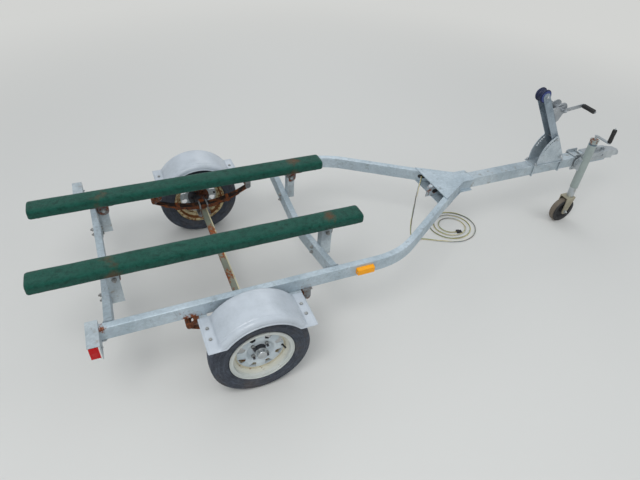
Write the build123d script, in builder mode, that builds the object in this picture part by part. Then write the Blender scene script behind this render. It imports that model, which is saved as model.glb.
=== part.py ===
from build123d import *
import os
from math import asin, atan2, cos, degrees, pi, radians, sin, sqrt, tan

# Small galvanised boat trailer, millimetres.
# +X is forward towards the coupler, +Y is left, +Z is up, and the floor is Z = 0.
# A station is a distance forward of the rails' open rear ends.
os.makedirs("parts", exist_ok=True)

# Fits
seat_gap = 0.3
pin_gap = 0.1
side_gap = 0.5
moving_gap = 5

# Wheels: a 4.80-12 tyre on a 4 inch wide rim with four studs
tyre_d = 520
tyre_half_width = 61
tyre_crown_to_widest = 55
tyre_wall = 8
bead_r = 152
bead_half_width = 50
rim_flange_r = 168.5
rim_lip = 4.5
rim_wall = 3
well_r = 134
disc_wall = 3.5
disc_rise = 18
centre_bore_r = 33
stud_circle_r = 50.8
stud_d = 12.7
stud_hole_d = 14
stud_count = 4
stud_reach = 30
window_count = 8
window_circle_r = 102
window_height = 34
window_width = 46
wheel_from_rail = 141

# Axle and hubs
axle_side = 38
axle_wall = 4
axle_station = 694
spindle_r = 13
spindle_collar_r = 17
hub_flange_r = 71.5
hub_flange_t = 10
hub_back_r = 34
hub_back_length = 62
hub_nose_r = 30
hub_nose_length = 26
cap_r = 25
cap_length = 26
hub_rib_count = 8
hub_rib_t = 5

# Leaf springs, the leaves from top to bottom
leaf_t = 6.5
leaf_half_lengths = (306, 245, 180, 112)
leaf_widths = (45, 43.5, 45, 43.5)
spring_r = 620
eye_r = 16
eye_bore_r = 8
clip_reach = 165
clip_t = 3
clip_width = 22
front_hanger_drop = 50
rear_hanger_drop = 24
hanger_t = 6
hanger_pin_r = 6
shackle_length = 44
shackle_width = 28
shackle_t = 6
ubolt_r = 5
clamp_plate_t = 8
clamp_plate_length = 84

# Frame
frame_width = 1118
rail_h = 76
rail_w = 38
rail_wall = 3
rail_corner_r = 5
bend_station = 1555
bend_angle = 34
bend_r = 480
member_angle = 12
member_r = 750
rear_member_station = 43
mid_member_station = 1166
member_hole_d = 11
member_end_hole_from_rail = 51
member_mid_hole_y = 200

# Tongue and its socket
tongue_side = 76
tongue_wall = 5
tongue_rear = 2040
tongue_front = 3640
tongue_mitre = 36
socket_plate_t = 6
socket_rear = 2090
socket_side_rear = 2200
socket_front = 2400
slot_length = 44
slot_height = 20
rail_slot_from_nose = 278
tongue_slot_from_tip = 72
tongue_tip_hole_d = 10

# Fenders and their straps
strap_t = 6
front_strap_width = 66
rear_strap_width = 38
strap_offset = 237
strap_reach = 192
strap_slot_reaches = (94, 162)
strap_slot_w = 11
strap_slot_l = 22
fender_width = 230
fender_inset = 10
fender_t = 4
fender_top_over_axle = 305
fender_foot_inner = 212
fender_foot_outer = 269
fender_lip = 24
fender_corner_r = 22
fender_step = 2
fender_step_inset = 30
fender_dimple_r = 15
fender_dimple_depth = 1.6
fender_foot_lip = 10
fender_hole_d = 9

# Lamps
lamp_rail_overlap = 52
lamp_width = 158
lamp_height = 84
lamp_depth = 46
lamp_wall = 3
lamp_corner_r = 10
lens_rim = 2.5
lens_rim_t = 4
reflector_width = 60
reflector_height = 56
reflector_t = 1.5
reflector_offset = 36
lamp_base_t = 5
lamp_plate_t = 4
lamp_plate_margin = 4
lamp_roof_reach = 54
window_l = 64
window_w = 20
bulb_r = 8
bulb_length = 26
tab_t = 6
tab_width = 46
tab_reach = 44
tab_hold = 22
tab_slot_l = 26
tab_slot_w = 13
marker_length = 104
marker_height = 40
marker_depth = 24
marker_station = 1330

# Bunks
bunk_length = 1680
bunk_width = 120
bunk_t = 60
bunk_corner_r = 22
bunk_y = 290
bunk_front = 1415
bracket_length = 118
bracket_width = 76
bracket_t = 5
ear_width = 62
ear_t = 6
ear_height = 52
post_leg = 50
post_t = 5
post_foot_drop = 30
bunk_bolt_z = 560
bunk_bolt_r = 6

# Bow stop: a tilting arm between two sector plates
bow_station = 3140
bow_pivot_rise = 46
bow_angle = 56
sector_r = 200
sector_hole_circle_r = 178
sector_hole_r = 6.5
sector_hole_pitch = 5.5
sector_hole_count = 7
sector_t = 5
sector_nose_r = 23
bow_pin_r = 6
arm_length = 575
arm_depth = 50
arm_width = 70
arm_wall = 4
arm_web_start = -6
arm_open_length = 55
roller_r = 44
roller_waist_r = 30
roller_boss_r = 15
roller_lip = 6

# Winch on the arm's web
winch_from_roller = 190
winch_axis_rise = 62
winch_base_length = 120
winch_wall = 4
winch_cheek_y = 37
winch_cheek_r = 30
drum_core_r = 18
drum_flange_r = 46
drum_flange_t = 3
winch_shaft_r = 7
ratchet_r = 30
ratchet_root_r = 25
ratchet_t = 7
ratchet_teeth = 14
crank_length = 160
crank_tilt = 118
crank_boss = 8
crank_width = 24
crank_t = 6
grip_r = 15
grip_length = 100
grip_pin_r = 5

# Coupler, for a 2 inch ball
ball_r = 25.4
coupler_tip = 3800
coupler_wall = 4
coupler_rear = 3425
coupler_skirt = 62
dome_r = 34
ball_drop = 14
ball_lip = 4
latch_length = 118
latch_hook_r = 9
latch_width = 22
latch_t = 5
latch_lever_rise = 22
latch_tail_rise = 30
latch_pivot_r = 5
coupler_rib_length = 120
coupler_rib_height = 12
coupler_rib_t = 2.5

# Tongue jack
jack_station = 3352
jack_plate_t = 6
jack_plate_length = 104
jack_plate_height = 124
jack_bolt_r = 5
jack_bolt_xs = (-36, 36)
swivel_r = 44
swivel_t = 8
swivel_pin_r = 10
saddle_t = 8
swivel_hole_r = 5
swivel_hole_circle_r = 36
pull_pin_r = 4.5
pull_pin_collar_r = 7.5
pull_pin_reach = 26
saddle_depth = 11
saddle_notch = 6
jack_tube_r = 28.5
jack_tube_wall = 3
jack_tube_bottom = 300
jack_tube_top = 690
jack_leg_r = 25
jack_leg_wall = 3.5
jack_leg_top = 556
caster_wheel_r = 100
caster_wheel_width = 50
caster_rim_r = 62
caster_hub_r = 20
caster_pin_r = 8
caster_trail = 30
fork_t = 6
fork_width = 50
fork_clear = 14
jack_crank_length = 110
jack_shaft_r = 8

# Wiring
grommet_wall = 4
grommet_lip = 3
grommet_stand = 2
harness_d = 8
harness_lead = 30
plug_length = 22
plug_width = 30
plug_height = 12
plug_ways = 4
sleeve_r = 3.2
sleeve_length = 18

# Places that follow from the sizes above
bunk_rear = bunk_front - bunk_length
origin_station = (bunk_rear + coupler_tip) / 2
leaves = list(zip(leaf_half_lengths, leaf_widths))
axle_z = tyre_d / 2
pack_bottom_z = axle_z + axle_side / 2
main_leaf_z = pack_bottom_z + (len(leaves) - 0.5) * leaf_t
eye_half = leaves[0][0]
eye_circle_r = spring_r - (eye_r - leaf_t / 2)
eye_z = main_leaf_z + spring_r - sqrt(eye_circle_r**2 - eye_half**2)
rail_bottom = eye_z + front_hanger_drop
rail_z = rail_bottom + rail_h / 2
rail_top = rail_bottom + rail_h
rail_y = (frame_width - rail_w) / 2
rail_inner_y = rail_y - rail_w / 2
rail_outer_y = rail_y + rail_w / 2
member_end_hole_y = rail_inner_y - member_end_hole_from_rail
member_hole_ys = (-member_end_hole_y, -member_mid_hole_y, member_mid_hole_y, member_end_hole_y)
wheel_y = rail_outer_y + wheel_from_rail
fender_y = wheel_y - fender_inset
strap_tip_y = rail_outer_y + strap_reach
strap_slot_ys = [rail_outer_y + reach for reach in strap_slot_reaches]
lamp_inner_y = rail_outer_y - lamp_rail_overlap
arm_web_end = arm_length - arm_open_length
winch_along = arm_length - winch_from_roller
nose_slope = tan(radians(bend_angle))
nose_station = bend_station + rail_y / nose_slope
socket_inner_y = tongue_side / 2 + seat_gap
socket_outer_y = socket_inner_y + socket_plate_t
tongue_bottom = rail_z - tongue_side / 2
tongue_top = rail_z + tongue_side / 2


def at(station):
    """X of a station along the trailer."""
    return station - origin_station


axle_x = at(axle_station)
left_wheel_axis = Axis((axle_x, wheel_y, axle_z), (0, 1, 0))


def member_centre_z(y):
    """Height of a crossmember's centre line, which holds along its straight arms."""
    return rail_z - tan(radians(member_angle)) * (rail_inner_y - abs(y))


def side_plane(x, y, z):
    """A plane facing left, with its local x forward and its local y down."""
    return Plane(origin=(x, y, z), x_dir=(1, 0, 0), z_dir=(0, 1, 0))


def mirrored(piece, label):
    """The right-hand twin of a left-hand piece."""
    with BuildPart() as twin:
        mirror(piece.part, about=Plane.XZ)
    twin.part.label = label
    return twin


def write(piece, label):
    piece.part.label = label
    export_step(piece.part, "parts/" + label + ".step")


def write_pair(left_piece, label):
    """Writes a left-hand piece and its mirrored twin as two nodes."""
    write(left_piece, "left_" + label)
    write(mirrored(left_piece, "right_" + label), "right_" + label)


def write_both(left_piece, label):
    """Writes a left-hand piece and its mirrored twin as one node."""
    with BuildPart() as both:
        add(left_piece.part)
        mirror(left_piece.part, about=Plane.XZ)
    write(both, label)


# Rail: rectangular tube, straight, then a rounded bend and a nose leg up to the socket plate
rail_start = (at(0), rail_y)
rail_bend = (at(bend_station), rail_y)
rail_nose = (at(nose_station), 0)
nose_length = rail_y / sin(radians(bend_angle))
nose_dir = (cos(radians(bend_angle)), -sin(radians(bend_angle)))
slot_from_bend = nose_length - rail_slot_from_nose
rail_slot_x = at(bend_station) + slot_from_bend * nose_dir[0]
rail_slot_y = rail_y + slot_from_bend * nose_dir[1]
nose_inward = (nose_dir[1], -nose_dir[0], 0)
with BuildPart() as left_rail:
    with BuildLine(Plane.XY.offset(rail_z)):
        FilletPolyline(rail_start, rail_bend, rail_nose, radius=bend_r)
    with BuildSketch(Plane(origin=(at(0), rail_y, rail_z), x_dir=(0, 1, 0), z_dir=(1, 0, 0))):
        RectangleRounded(rail_w, rail_h, rail_corner_r)
        Rectangle(rail_w - 2 * rail_wall, rail_h - 2 * rail_wall, mode=Mode.SUBTRACT)
    sweep()
    with Locations((at(nose_station), socket_outer_y - rail_y, rail_z)):
        Box(2 * rail_y, 2 * rail_y, 2 * rail_h, mode=Mode.SUBTRACT)
    with BuildSketch(Plane(origin=(rail_slot_x, rail_slot_y, rail_z), x_dir=(0, 0, 1), z_dir=nose_inward)):
        SlotOverall(slot_length, slot_height, rotation=90)
    extrude(amount=rail_w, mode=Mode.SUBTRACT)
write_pair(left_rail, "rail")


def crossmember(station):
    """A dropped crossmember: two straight arms joined by a wide arc, cut to the rails' inner faces."""
    reach = rail_inner_y + rail_w
    beyond_y = rail_inner_y + rail_h
    with BuildPart() as member:
        with BuildLine(Plane(origin=(at(station), 0, 0), x_dir=(0, 1, 0), z_dir=(1, 0, 0))) as line:
            FilletPolyline(
                (-reach, member_centre_z(reach)),
                (0, member_centre_z(0)),
                (reach, member_centre_z(reach)),
                radius=member_r,
            )
        with BuildSketch(Plane(origin=line.line @ 0, x_dir=(1, 0, 0), z_dir=line.line % 0)):
            RectangleRounded(rail_w, rail_h, rail_corner_r)
            Rectangle(rail_w - 2 * rail_wall, rail_h - 2 * rail_wall, mode=Mode.SUBTRACT)
        sweep()
        with Locations((at(station), beyond_y, rail_z), (at(station), -beyond_y, rail_z)):
            Box(2 * rail_w, 2 * rail_h, 4 * rail_h, mode=Mode.SUBTRACT)
        with BuildSketch(Plane(origin=(at(station), 0, 0), x_dir=(0, 1, 0), z_dir=(1, 0, 0))):
            for hole_y in member_hole_ys:
                with Locations((hole_y, member_centre_z(hole_y))):
                    Circle(member_hole_d / 2)
        extrude(amount=rail_w, both=True, mode=Mode.SUBTRACT)
    return member


write(crossmember(rear_member_station), "rear_crossmember")
write(crossmember(mid_member_station), "mid_crossmember")

# Tongue socket: two gusset plates over and under the rails' noses, and two side plates between them
gusset_half = (nose_station - socket_rear) * nose_slope + rail_w / 2 / cos(radians(bend_angle)) - 8
gusset_neck_station = nose_station - 45
gusset_neck_half = socket_outer_y + 16
with BuildPart() as tongue_socket:
    for base in (rail_top, rail_bottom - socket_plate_t):
        with BuildSketch(Plane.XY.offset(base)):
            with BuildLine():
                Polyline(
                    (at(socket_rear), -gusset_half),
                    (at(gusset_neck_station), -gusset_neck_half),
                    (at(socket_front), -gusset_neck_half),
                    (at(socket_front), gusset_neck_half),
                    (at(gusset_neck_station), gusset_neck_half),
                    (at(socket_rear), gusset_half),
                    close=True,
                )
            make_face()
        extrude(amount=socket_plate_t)
    socket_side_length = socket_front - socket_side_rear
    side_mid_y = (socket_inner_y + socket_outer_y) / 2
    side_mid_x = at(socket_side_rear + socket_side_length / 2)
    with Locations((side_mid_x, side_mid_y, rail_z), (side_mid_x, -side_mid_y, rail_z)):
        Box(socket_side_length, socket_plate_t, rail_h)
write(tongue_socket, "tongue_socket")

# Tongue: square tube, its rear end mitred in plan, with an oval wiring slot near the tip
mitre_length = tongue_side / tan(radians(tongue_mitre))
tongue_length = tongue_front - tongue_rear
coupler_holes = [
    # station, y, diameter
    (tongue_front - 66, 22, 13),
    (tongue_front - 150, 22, 13),
    (tongue_front - 66, -24, 10),
    (tongue_front - 150, -24, 10),
]
with BuildPart() as tongue:
    with BuildSketch(Plane(origin=(at(tongue_rear), 0, rail_z), x_dir=(0, 1, 0), z_dir=(1, 0, 0))):
        RectangleRounded(tongue_side, tongue_side, rail_corner_r)
        Rectangle(tongue_side - 2 * tongue_wall, tongue_side - 2 * tongue_wall, mode=Mode.SUBTRACT)
    extrude(amount=tongue_length)
    with BuildSketch(Plane.XY.offset(tongue_bottom)):
        with BuildLine():
            Polyline(
                (at(tongue_rear), -tongue_side / 2),
                (at(tongue_rear) + mitre_length, tongue_side / 2),
                (at(tongue_rear), tongue_side / 2),
                close=True,
            )
        make_face()
    extrude(amount=tongue_side, mode=Mode.SUBTRACT)
    slot_x = at(tongue_rear + tongue_slot_from_tip)
    with BuildSketch(Plane(origin=(slot_x, 0, rail_z), x_dir=(1, 0, 0), z_dir=(0, -1, 0))):
        SlotOverall(slot_length, slot_height)
        with Locations((-tongue_slot_from_tip + 24, 0)):
            Circle(tongue_tip_hole_d / 2)
    extrude(amount=tongue_side, mode=Mode.SUBTRACT)
    with BuildSketch(Plane.XY.offset(tongue_top)):
        for hole_station, hole_y, hole_d in coupler_holes:
            with Locations((at(hole_station), hole_y)):
                Circle(hole_d / 2)
    extrude(amount=-2 * tongue_wall, mode=Mode.SUBTRACT)
write(tongue, "tongue")


def spring_pack():
    """A stack of arched leaves with a rolled eye at each end of the top one and two rebound clips."""
    side = Plane(origin=(axle_x, rail_y, main_leaf_z + spring_r), x_dir=(1, 0, 0), z_dir=(0, -1, 0))
    eye_angle = degrees(asin(eye_half / eye_circle_r))
    with BuildPart() as pack:
        for row, (half_length, width) in enumerate(leaves):
            inner_r = spring_r - leaf_t / 2 + row * leaf_t
            half_angle = degrees(asin(half_length / inner_r)) if row else eye_angle
            with BuildSketch(side):
                with BuildLine():
                    top = CenterArc((0, 0), inner_r, 270 - half_angle, 2 * half_angle)
                    low = CenterArc((0, 0), inner_r + leaf_t, 270 - half_angle, 2 * half_angle)
                    Line(top @ 0, low @ 0)
                    Line(top @ 1, low @ 1)
                make_face()
            extrude(amount=width / 2, both=True)
        with BuildSketch(side):
            with PolarLocations(eye_circle_r, 2, start_angle=270 - eye_angle, angular_range=4 * eye_angle):
                Circle(eye_r)
        extrude(amount=leaves[0][1] / 2, both=True)
        with BuildSketch(side):
            with PolarLocations(eye_circle_r, 2, start_angle=270 - eye_angle, angular_range=4 * eye_angle):
                Circle(eye_bore_r)
        extrude(amount=leaves[0][1], both=True, mode=Mode.SUBTRACT)
        clip_angle = degrees(asin(clip_reach / spring_r))
        clip_rows = sum(1 for half_length, width in leaves if half_length > clip_reach)
        clip_height = clip_rows * leaf_t + 2 * clip_t
        clip_mid_r = spring_r + (clip_rows - 1) * leaf_t / 2
        with BuildSketch(side):
            with PolarLocations(clip_mid_r, 2, start_angle=270 - clip_angle, angular_range=4 * clip_angle):
                Rectangle(clip_height, clip_width)
        extrude(amount=leaves[0][1] / 2 + clip_t, both=True)
    return pack


write_pair(spring_pack(), "leaf_spring")

# Spring hangers: welded U brackets, deep at the front eye and shallow at the rear shackle
front_eye_x = axle_x + eye_half
rear_eye_x = axle_x - eye_half
rear_hanger_z = rail_bottom - rear_hanger_drop
shackle_rise = rear_hanger_z - eye_z
shackle_run = sqrt(shackle_length**2 - shackle_rise**2)
rear_hanger_x = rear_eye_x + shackle_run
spring_half_width = leaves[0][1] / 2
front_ear_y = spring_half_width + side_gap
rear_ear_y = front_ear_y + shackle_t + side_gap
hanger_table = [
    # x of the hole, height of the hole, inner half width, ear radius, base half length
    (front_eye_x, eye_z, front_ear_y, 18, 26),
    (rear_hanger_x, rear_hanger_z, rear_ear_y, 14, 14),
]
with BuildPart() as left_hangers:
    for hole_x, hole_z, inner, ear_r, base_half in hanger_table:
        depth = rail_bottom - hole_z
        with BuildSketch(Plane.XY.offset(rail_bottom)):
            with Locations((hole_x, rail_y)):
                Rectangle(2 * base_half, 2 * (inner + hanger_t))
        extrude(amount=-hanger_t)
        for centre_y in (rail_y - inner - hanger_t / 2, rail_y + inner + hanger_t / 2):
            with BuildSketch(Plane(origin=(hole_x, centre_y, hole_z), x_dir=(1, 0, 0), z_dir=(0, -1, 0))):
                Circle(ear_r)
                with Locations((0, depth / 2)):
                    Rectangle(2 * ear_r, depth)
            extrude(amount=hanger_t / 2, both=True)
        with BuildSketch(Plane(origin=(hole_x, rail_y, hole_z), x_dir=(1, 0, 0), z_dir=(0, -1, 0))):
            Circle(hanger_pin_r + seat_gap)
        extrude(amount=2 * rail_w, both=True, mode=Mode.SUBTRACT)
write_both(left_hangers, "spring_hangers")

# Shackles: two links and two bolts at each rear eye, and the long bolt through each front eye
bolt_head_t = 8
with BuildPart() as left_shackle:
    link_y = front_ear_y + shackle_t / 2
    link_angle = degrees(atan2(shackle_rise, shackle_run))
    link_mid = ((rear_eye_x + rear_hanger_x) / 2, (eye_z + rear_hanger_z) / 2)
    for offset in (-link_y, link_y):
        with BuildSketch(
            Plane(origin=(link_mid[0], rail_y + offset, link_mid[1]), x_dir=(1, 0, 0), z_dir=(0, -1, 0))
        ):
            SlotCenterToCenter(shackle_length, shackle_width, rotation=link_angle)
        extrude(amount=shackle_t / 2, both=True)
    pin_table = [
        # x, z, radius, half length
        (rear_eye_x, eye_z, eye_bore_r - seat_gap, link_y + shackle_t),
        (rear_hanger_x, rear_hanger_z, hanger_pin_r, rear_ear_y + hanger_t + bolt_head_t),
    ]
    for pin_x, pin_z, radius, half in pin_table:
        with BuildSketch(Plane(origin=(pin_x, rail_y, pin_z), x_dir=(1, 0, 0), z_dir=(0, -1, 0))):
            Circle(radius)
        extrude(amount=half, both=True)
    head_y = rear_ear_y + hanger_t + seat_gap
    for start in (rail_y + head_y, rail_y - head_y - bolt_head_t):
        with BuildSketch(side_plane(rear_hanger_x, start, rear_hanger_z)):
            RegularPolygon(11, 6)
        extrude(amount=bolt_head_t)
    front_half = front_ear_y + hanger_t
    with BuildSketch(Plane(origin=(front_eye_x, rail_y, eye_z), x_dir=(1, 0, 0), z_dir=(0, -1, 0))):
        Circle(hanger_pin_r)
    extrude(amount=front_half + seat_gap, both=True)
    with BuildSketch(Plane(origin=(front_eye_x, rail_y, eye_z), x_dir=(1, 0, 0), z_dir=(0, -1, 0))):
        Circle(eye_bore_r - seat_gap)
    extrude(amount=spring_half_width, both=True)
    for start in (rail_y + front_half + seat_gap, rail_y - front_half - seat_gap - bolt_head_t):
        with BuildSketch(side_plane(front_eye_x, start, eye_z)):
            RegularPolygon(11, 6)
        extrude(amount=bolt_head_t)
write_both(left_shackle, "spring_shackles")

# Axle: square tube with a round spindle in each end
spindle_inner_y = wheel_y - hub_back_length - 12
with BuildPart() as axle:
    with BuildSketch(Plane(origin=(axle_x, -spindle_inner_y, axle_z), x_dir=(1, 0, 0), z_dir=(0, 1, 0))):
        RectangleRounded(axle_side, axle_side, 4)
        Rectangle(axle_side - 2 * axle_wall, axle_side - 2 * axle_wall, mode=Mode.SUBTRACT)
    extrude(amount=2 * spindle_inner_y)
    for end in (-1, 1):
        with Locations((axle_x, end * (spindle_inner_y - 15), axle_z)):
            Box(axle_side - 2 * axle_wall, 30, axle_side - 2 * axle_wall)
        spindle_start = (axle_x, end * spindle_inner_y, axle_z)
        spindle_plane = Plane(origin=spindle_start, x_dir=(1, 0, 0), z_dir=(0, end, 0))
        with BuildSketch(spindle_plane):
            Circle(spindle_collar_r)
        extrude(amount=wheel_y - hub_back_length - side_gap - spindle_inner_y)
        with BuildSketch(spindle_plane):
            Circle(spindle_r)
        extrude(amount=wheel_y + hub_nose_length - spindle_inner_y)
write(axle, "axle")

# Axle clamps: two U bolts over each spring pack, drawn up on a plate under the axle
ubolt_x = axle_side / 2 + ubolt_r + side_gap
ubolt_y = spring_half_width + ubolt_r + side_gap
ubolt_top_z = main_leaf_z + leaf_t / 2 + ubolt_r + 1
plate_top_z = axle_z - axle_side / 2
ubolt_low_z = plate_top_z - clamp_plate_t - 14
with BuildPart() as left_clamps:
    for offset in (-ubolt_x, ubolt_x):
        with BuildLine(Plane(origin=(axle_x + offset, rail_y, 0), x_dir=(0, 1, 0), z_dir=(1, 0, 0))) as hoop:
            FilletPolyline(
                (-ubolt_y, ubolt_low_z),
                (-ubolt_y, ubolt_top_z),
                (ubolt_y, ubolt_top_z),
                (ubolt_y, ubolt_low_z),
                radius=ubolt_r * 1.2,
            )
        with BuildSketch(Plane(origin=hoop.line @ 0, z_dir=hoop.line % 0)):
            Circle(ubolt_r)
        sweep()
    with BuildSketch(Plane.XY.offset(plate_top_z - clamp_plate_t)):
        with Locations((axle_x, rail_y)):
            Rectangle(clamp_plate_length, 2 * (ubolt_y + ubolt_r) + 14)
    extrude(amount=clamp_plate_t)
write_both(left_clamps, "axle_clamps")

# Fender straps: flat bars under the rail, rounded at the tip, with two slots for the fender's bolts
strap_table = [
    # station, width
    (axle_station + strap_offset, front_strap_width),
    (axle_station - strap_offset, rear_strap_width),
]
with BuildPart() as left_straps:
    for station, width in strap_table:
        tip = strap_tip_y - width * 0.32
        with BuildSketch(Plane.XY.offset(rail_bottom - strap_t)):
            with Locations((at(station), (rail_inner_y + tip) / 2)):
                Rectangle(width, tip - rail_inner_y)
            with Locations((at(station), tip)):
                Ellipse(width / 2, strap_tip_y - tip)
        extrude(amount=strap_t)
        with BuildSketch(Plane.XY.offset(rail_bottom)):
            for slot_y in strap_slot_ys:
                with Locations((at(station), slot_y)):
                    SlotOverall(strap_slot_l, strap_slot_w)
        extrude(amount=-strap_t, mode=Mode.SUBTRACT)
write_both(left_straps, "fender_straps")

# Fender: a moulded arch of U section that ends in two flat feet on the straps
foot_z = rail_bottom
foot_rise = foot_z + fender_t - axle_z
arch_centre_rise = (fender_top_over_axle**2 - fender_foot_inner**2 - foot_rise**2) / (
    2 * (fender_top_over_axle - foot_rise)
)
arch_r = fender_top_over_axle - arch_centre_rise
arch_half_angle = degrees(atan2(fender_foot_inner, foot_rise - arch_centre_rise))
arch_axis = Axis((axle_x, fender_y, axle_z + arch_centre_rise), (0, 1, 0))
arch_overrun = 3
end_angle = radians(arch_half_angle + arch_overrun)
with BuildPart() as left_fender:
    with BuildSketch(
        Plane(
            origin=(axle_x, fender_y, axle_z + arch_centre_rise),
            x_dir=(0, 1, 0),
            z_dir=(cos(end_angle), 0, sin(end_angle)),
        )
    ):
        skirt = fender_lip + fender_t
        with Locations((0, arch_r + fender_t - skirt)):
            RectangleRounded(fender_width, 2 * skirt, fender_corner_r)
            Rectangle(2 * fender_width, 2 * skirt, align=(Align.CENTER, Align.MAX), mode=Mode.SUBTRACT)
            RectangleRounded(
                fender_width - 2 * fender_t, 2 * fender_lip, fender_corner_r - fender_t, mode=Mode.SUBTRACT
            )
        with Locations((0, arch_r + fender_t + fender_step / 2 - 1)):
            Rectangle(fender_width - 2 * fender_step_inset, fender_step + 2)
    revolve(axis=arch_axis, revolution_arc=2 * degrees(end_angle))
    with Locations((axle_x, fender_y, foot_z)):
        Box(
            2 * fender_foot_outer,
            2 * fender_width,
            fender_foot_outer,
            align=(Align.CENTER, Align.CENTER, Align.MAX),
            mode=Mode.SUBTRACT,
        )
    foot_length = fender_foot_outer - fender_foot_inner + fender_t
    for end in (-1, 1):
        foot_mid = axle_x + end * (fender_foot_outer - foot_length / 2)
        with Locations((foot_mid, fender_y, foot_z + fender_t / 2)):
            Box(foot_length, fender_width - 2 * fender_t, fender_t)
        lip_x = axle_x + end * (fender_foot_outer - fender_t / 2)
        with Locations((lip_x, fender_y, foot_z + fender_foot_lip / 2)):
            Box(fender_t, fender_width - 2 * fender_t, fender_foot_lip)
    with BuildSketch(Plane.XY.offset(foot_z)):
        for end in (-1, 1):
            for hole_y in strap_slot_ys:
                with Locations((axle_x + end * strap_offset, hole_y)):
                    Circle(fender_hole_d / 2)
    extrude(amount=fender_t, mode=Mode.SUBTRACT)
    with BuildSketch(Plane.XY.offset(foot_z + fender_t - fender_dimple_depth)):
        for end in (-1, 1):
            for hole_y in strap_slot_ys:
                with Locations((axle_x + end * strap_offset, hole_y)):
                    Circle(fender_dimple_r)
    extrude(amount=2 * fender_dimple_depth, mode=Mode.SUBTRACT)
write_pair(left_fender, "fender")

# Tyre: a hollow casing with a crowned tread, turned round the axle
with BuildPart() as left_tyre:
    with BuildSketch(Plane(origin=(axle_x, wheel_y, axle_z), x_dir=(1, 0, 0), z_dir=(0, 0, 1))):
        tread_r = tyre_d / 2
        shoulder_r = tread_r - 4
        shoulder_half = tyre_half_width - 19
        corner_r = tread_r - 7.5
        corner_half = tyre_half_width - 10
        upper_r = tread_r - 18
        upper_half = tyre_half_width - 6
        widest_r = tread_r - tyre_crown_to_widest
        bead_top_r = bead_r + 17
        inner_bead_half = bead_half_width - 11
        inner_crown_r = tread_r - 9
        inner_upper_half = tyre_half_width - 7 - tyre_wall
        with BuildLine():
            Line((bead_r + seat_gap, -bead_half_width), (bead_top_r, -bead_half_width))
            ThreePointArc(
                (bead_top_r, -bead_half_width),
                (widest_r, -tyre_half_width),
                (upper_r, -upper_half),
            )
            ThreePointArc((upper_r, -upper_half), (corner_r, -corner_half), (shoulder_r, -shoulder_half))
            ThreePointArc((shoulder_r, -shoulder_half), (tread_r, 0), (shoulder_r, shoulder_half))
            ThreePointArc((shoulder_r, shoulder_half), (corner_r, corner_half), (upper_r, upper_half))
            ThreePointArc(
                (upper_r, upper_half),
                (widest_r, tyre_half_width),
                (bead_top_r, bead_half_width),
            )
            Line((bead_top_r, bead_half_width), (bead_r + seat_gap, bead_half_width))
            Line((bead_r + seat_gap, bead_half_width), (bead_r + seat_gap, inner_bead_half))
            Line((bead_r + seat_gap, inner_bead_half), (bead_top_r, bead_half_width - tyre_wall))
            ThreePointArc(
                (bead_top_r, bead_half_width - tyre_wall),
                (widest_r, tyre_half_width - tyre_wall),
                (upper_r, inner_upper_half),
            )
            ThreePointArc((upper_r, inner_upper_half), (inner_crown_r, 0), (upper_r, -inner_upper_half))
            ThreePointArc(
                (upper_r, -inner_upper_half),
                (widest_r, -tyre_half_width + tyre_wall),
                (bead_top_r, -bead_half_width + tyre_wall),
            )
            Line((bead_top_r, -bead_half_width + tyre_wall), (bead_r + seat_gap, -inner_bead_half))
            Line((bead_r + seat_gap, -inner_bead_half), (bead_r + seat_gap, -bead_half_width))
        make_face()
    revolve(axis=left_wheel_axis)
write_pair(left_tyre, "tyre")

# Wheel: a drop-centre rim and a dished disc with a ring of windows
flange_half = bead_half_width + seat_gap
well_half = 24
with BuildPart() as left_wheel:
    with BuildSketch(Plane(origin=(axle_x, wheel_y, axle_z), x_dir=(1, 0, 0), z_dir=(0, 0, 1))):
        rim_half = [
            # radius, half width
            (well_r, 0),
            (well_r, well_half),
            (bead_r - 2, well_half + 10),
            (bead_r, flange_half),
            (rim_flange_r - 2.5, flange_half),
            (rim_flange_r, flange_half + 1.5),
            (rim_flange_r, flange_half + rim_wall + rim_lip),
            (rim_flange_r - rim_wall, flange_half + rim_wall + rim_lip),
            (rim_flange_r - rim_wall, flange_half + rim_wall),
            (bead_r - rim_wall, flange_half + rim_wall),
            (bead_r - 2 - rim_wall, well_half + 10 + 1.5),
            (well_r - rim_wall, well_half + 1.5),
            (well_r - rim_wall, 0),
        ]
        with BuildLine():
            Polyline(*rim_half, close=True)
        make_face()
        mirror(about=Plane.XZ)
        disc = [
            # radius, height over the mounting face
            (centre_bore_r, 0),
            (62, 0),
            (76, disc_rise - disc_wall),
            (96, disc_rise),
            (118, disc_rise - disc_wall - 4),
            (well_r - rim_wall - disc_wall, -8),
            (well_r - rim_wall, -8),
            (well_r - rim_wall, 16),
            (118, disc_rise),
            (96, disc_rise + disc_wall),
            (74, disc_rise),
            (60, disc_wall),
            (centre_bore_r, disc_wall),
        ]
        with BuildLine():
            Polyline(*disc, close=True)
        make_face()
    revolve(axis=left_wheel_axis)
    with BuildSketch(side_plane(axle_x, wheel_y - 20, axle_z)):
        with PolarLocations(window_circle_r, window_count, start_angle=180 / window_count):
            Trapezoid(window_width, window_height, 68, rotation=90)
    extrude(amount=60, mode=Mode.SUBTRACT)
    with BuildSketch(side_plane(axle_x, wheel_y - 20, axle_z)):
        with PolarLocations(stud_circle_r, stud_count, start_angle=180 / stud_count):
            Circle(stud_hole_d / 2)
    extrude(amount=60, mode=Mode.SUBTRACT)
write_pair(left_wheel, "wheel")

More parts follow.
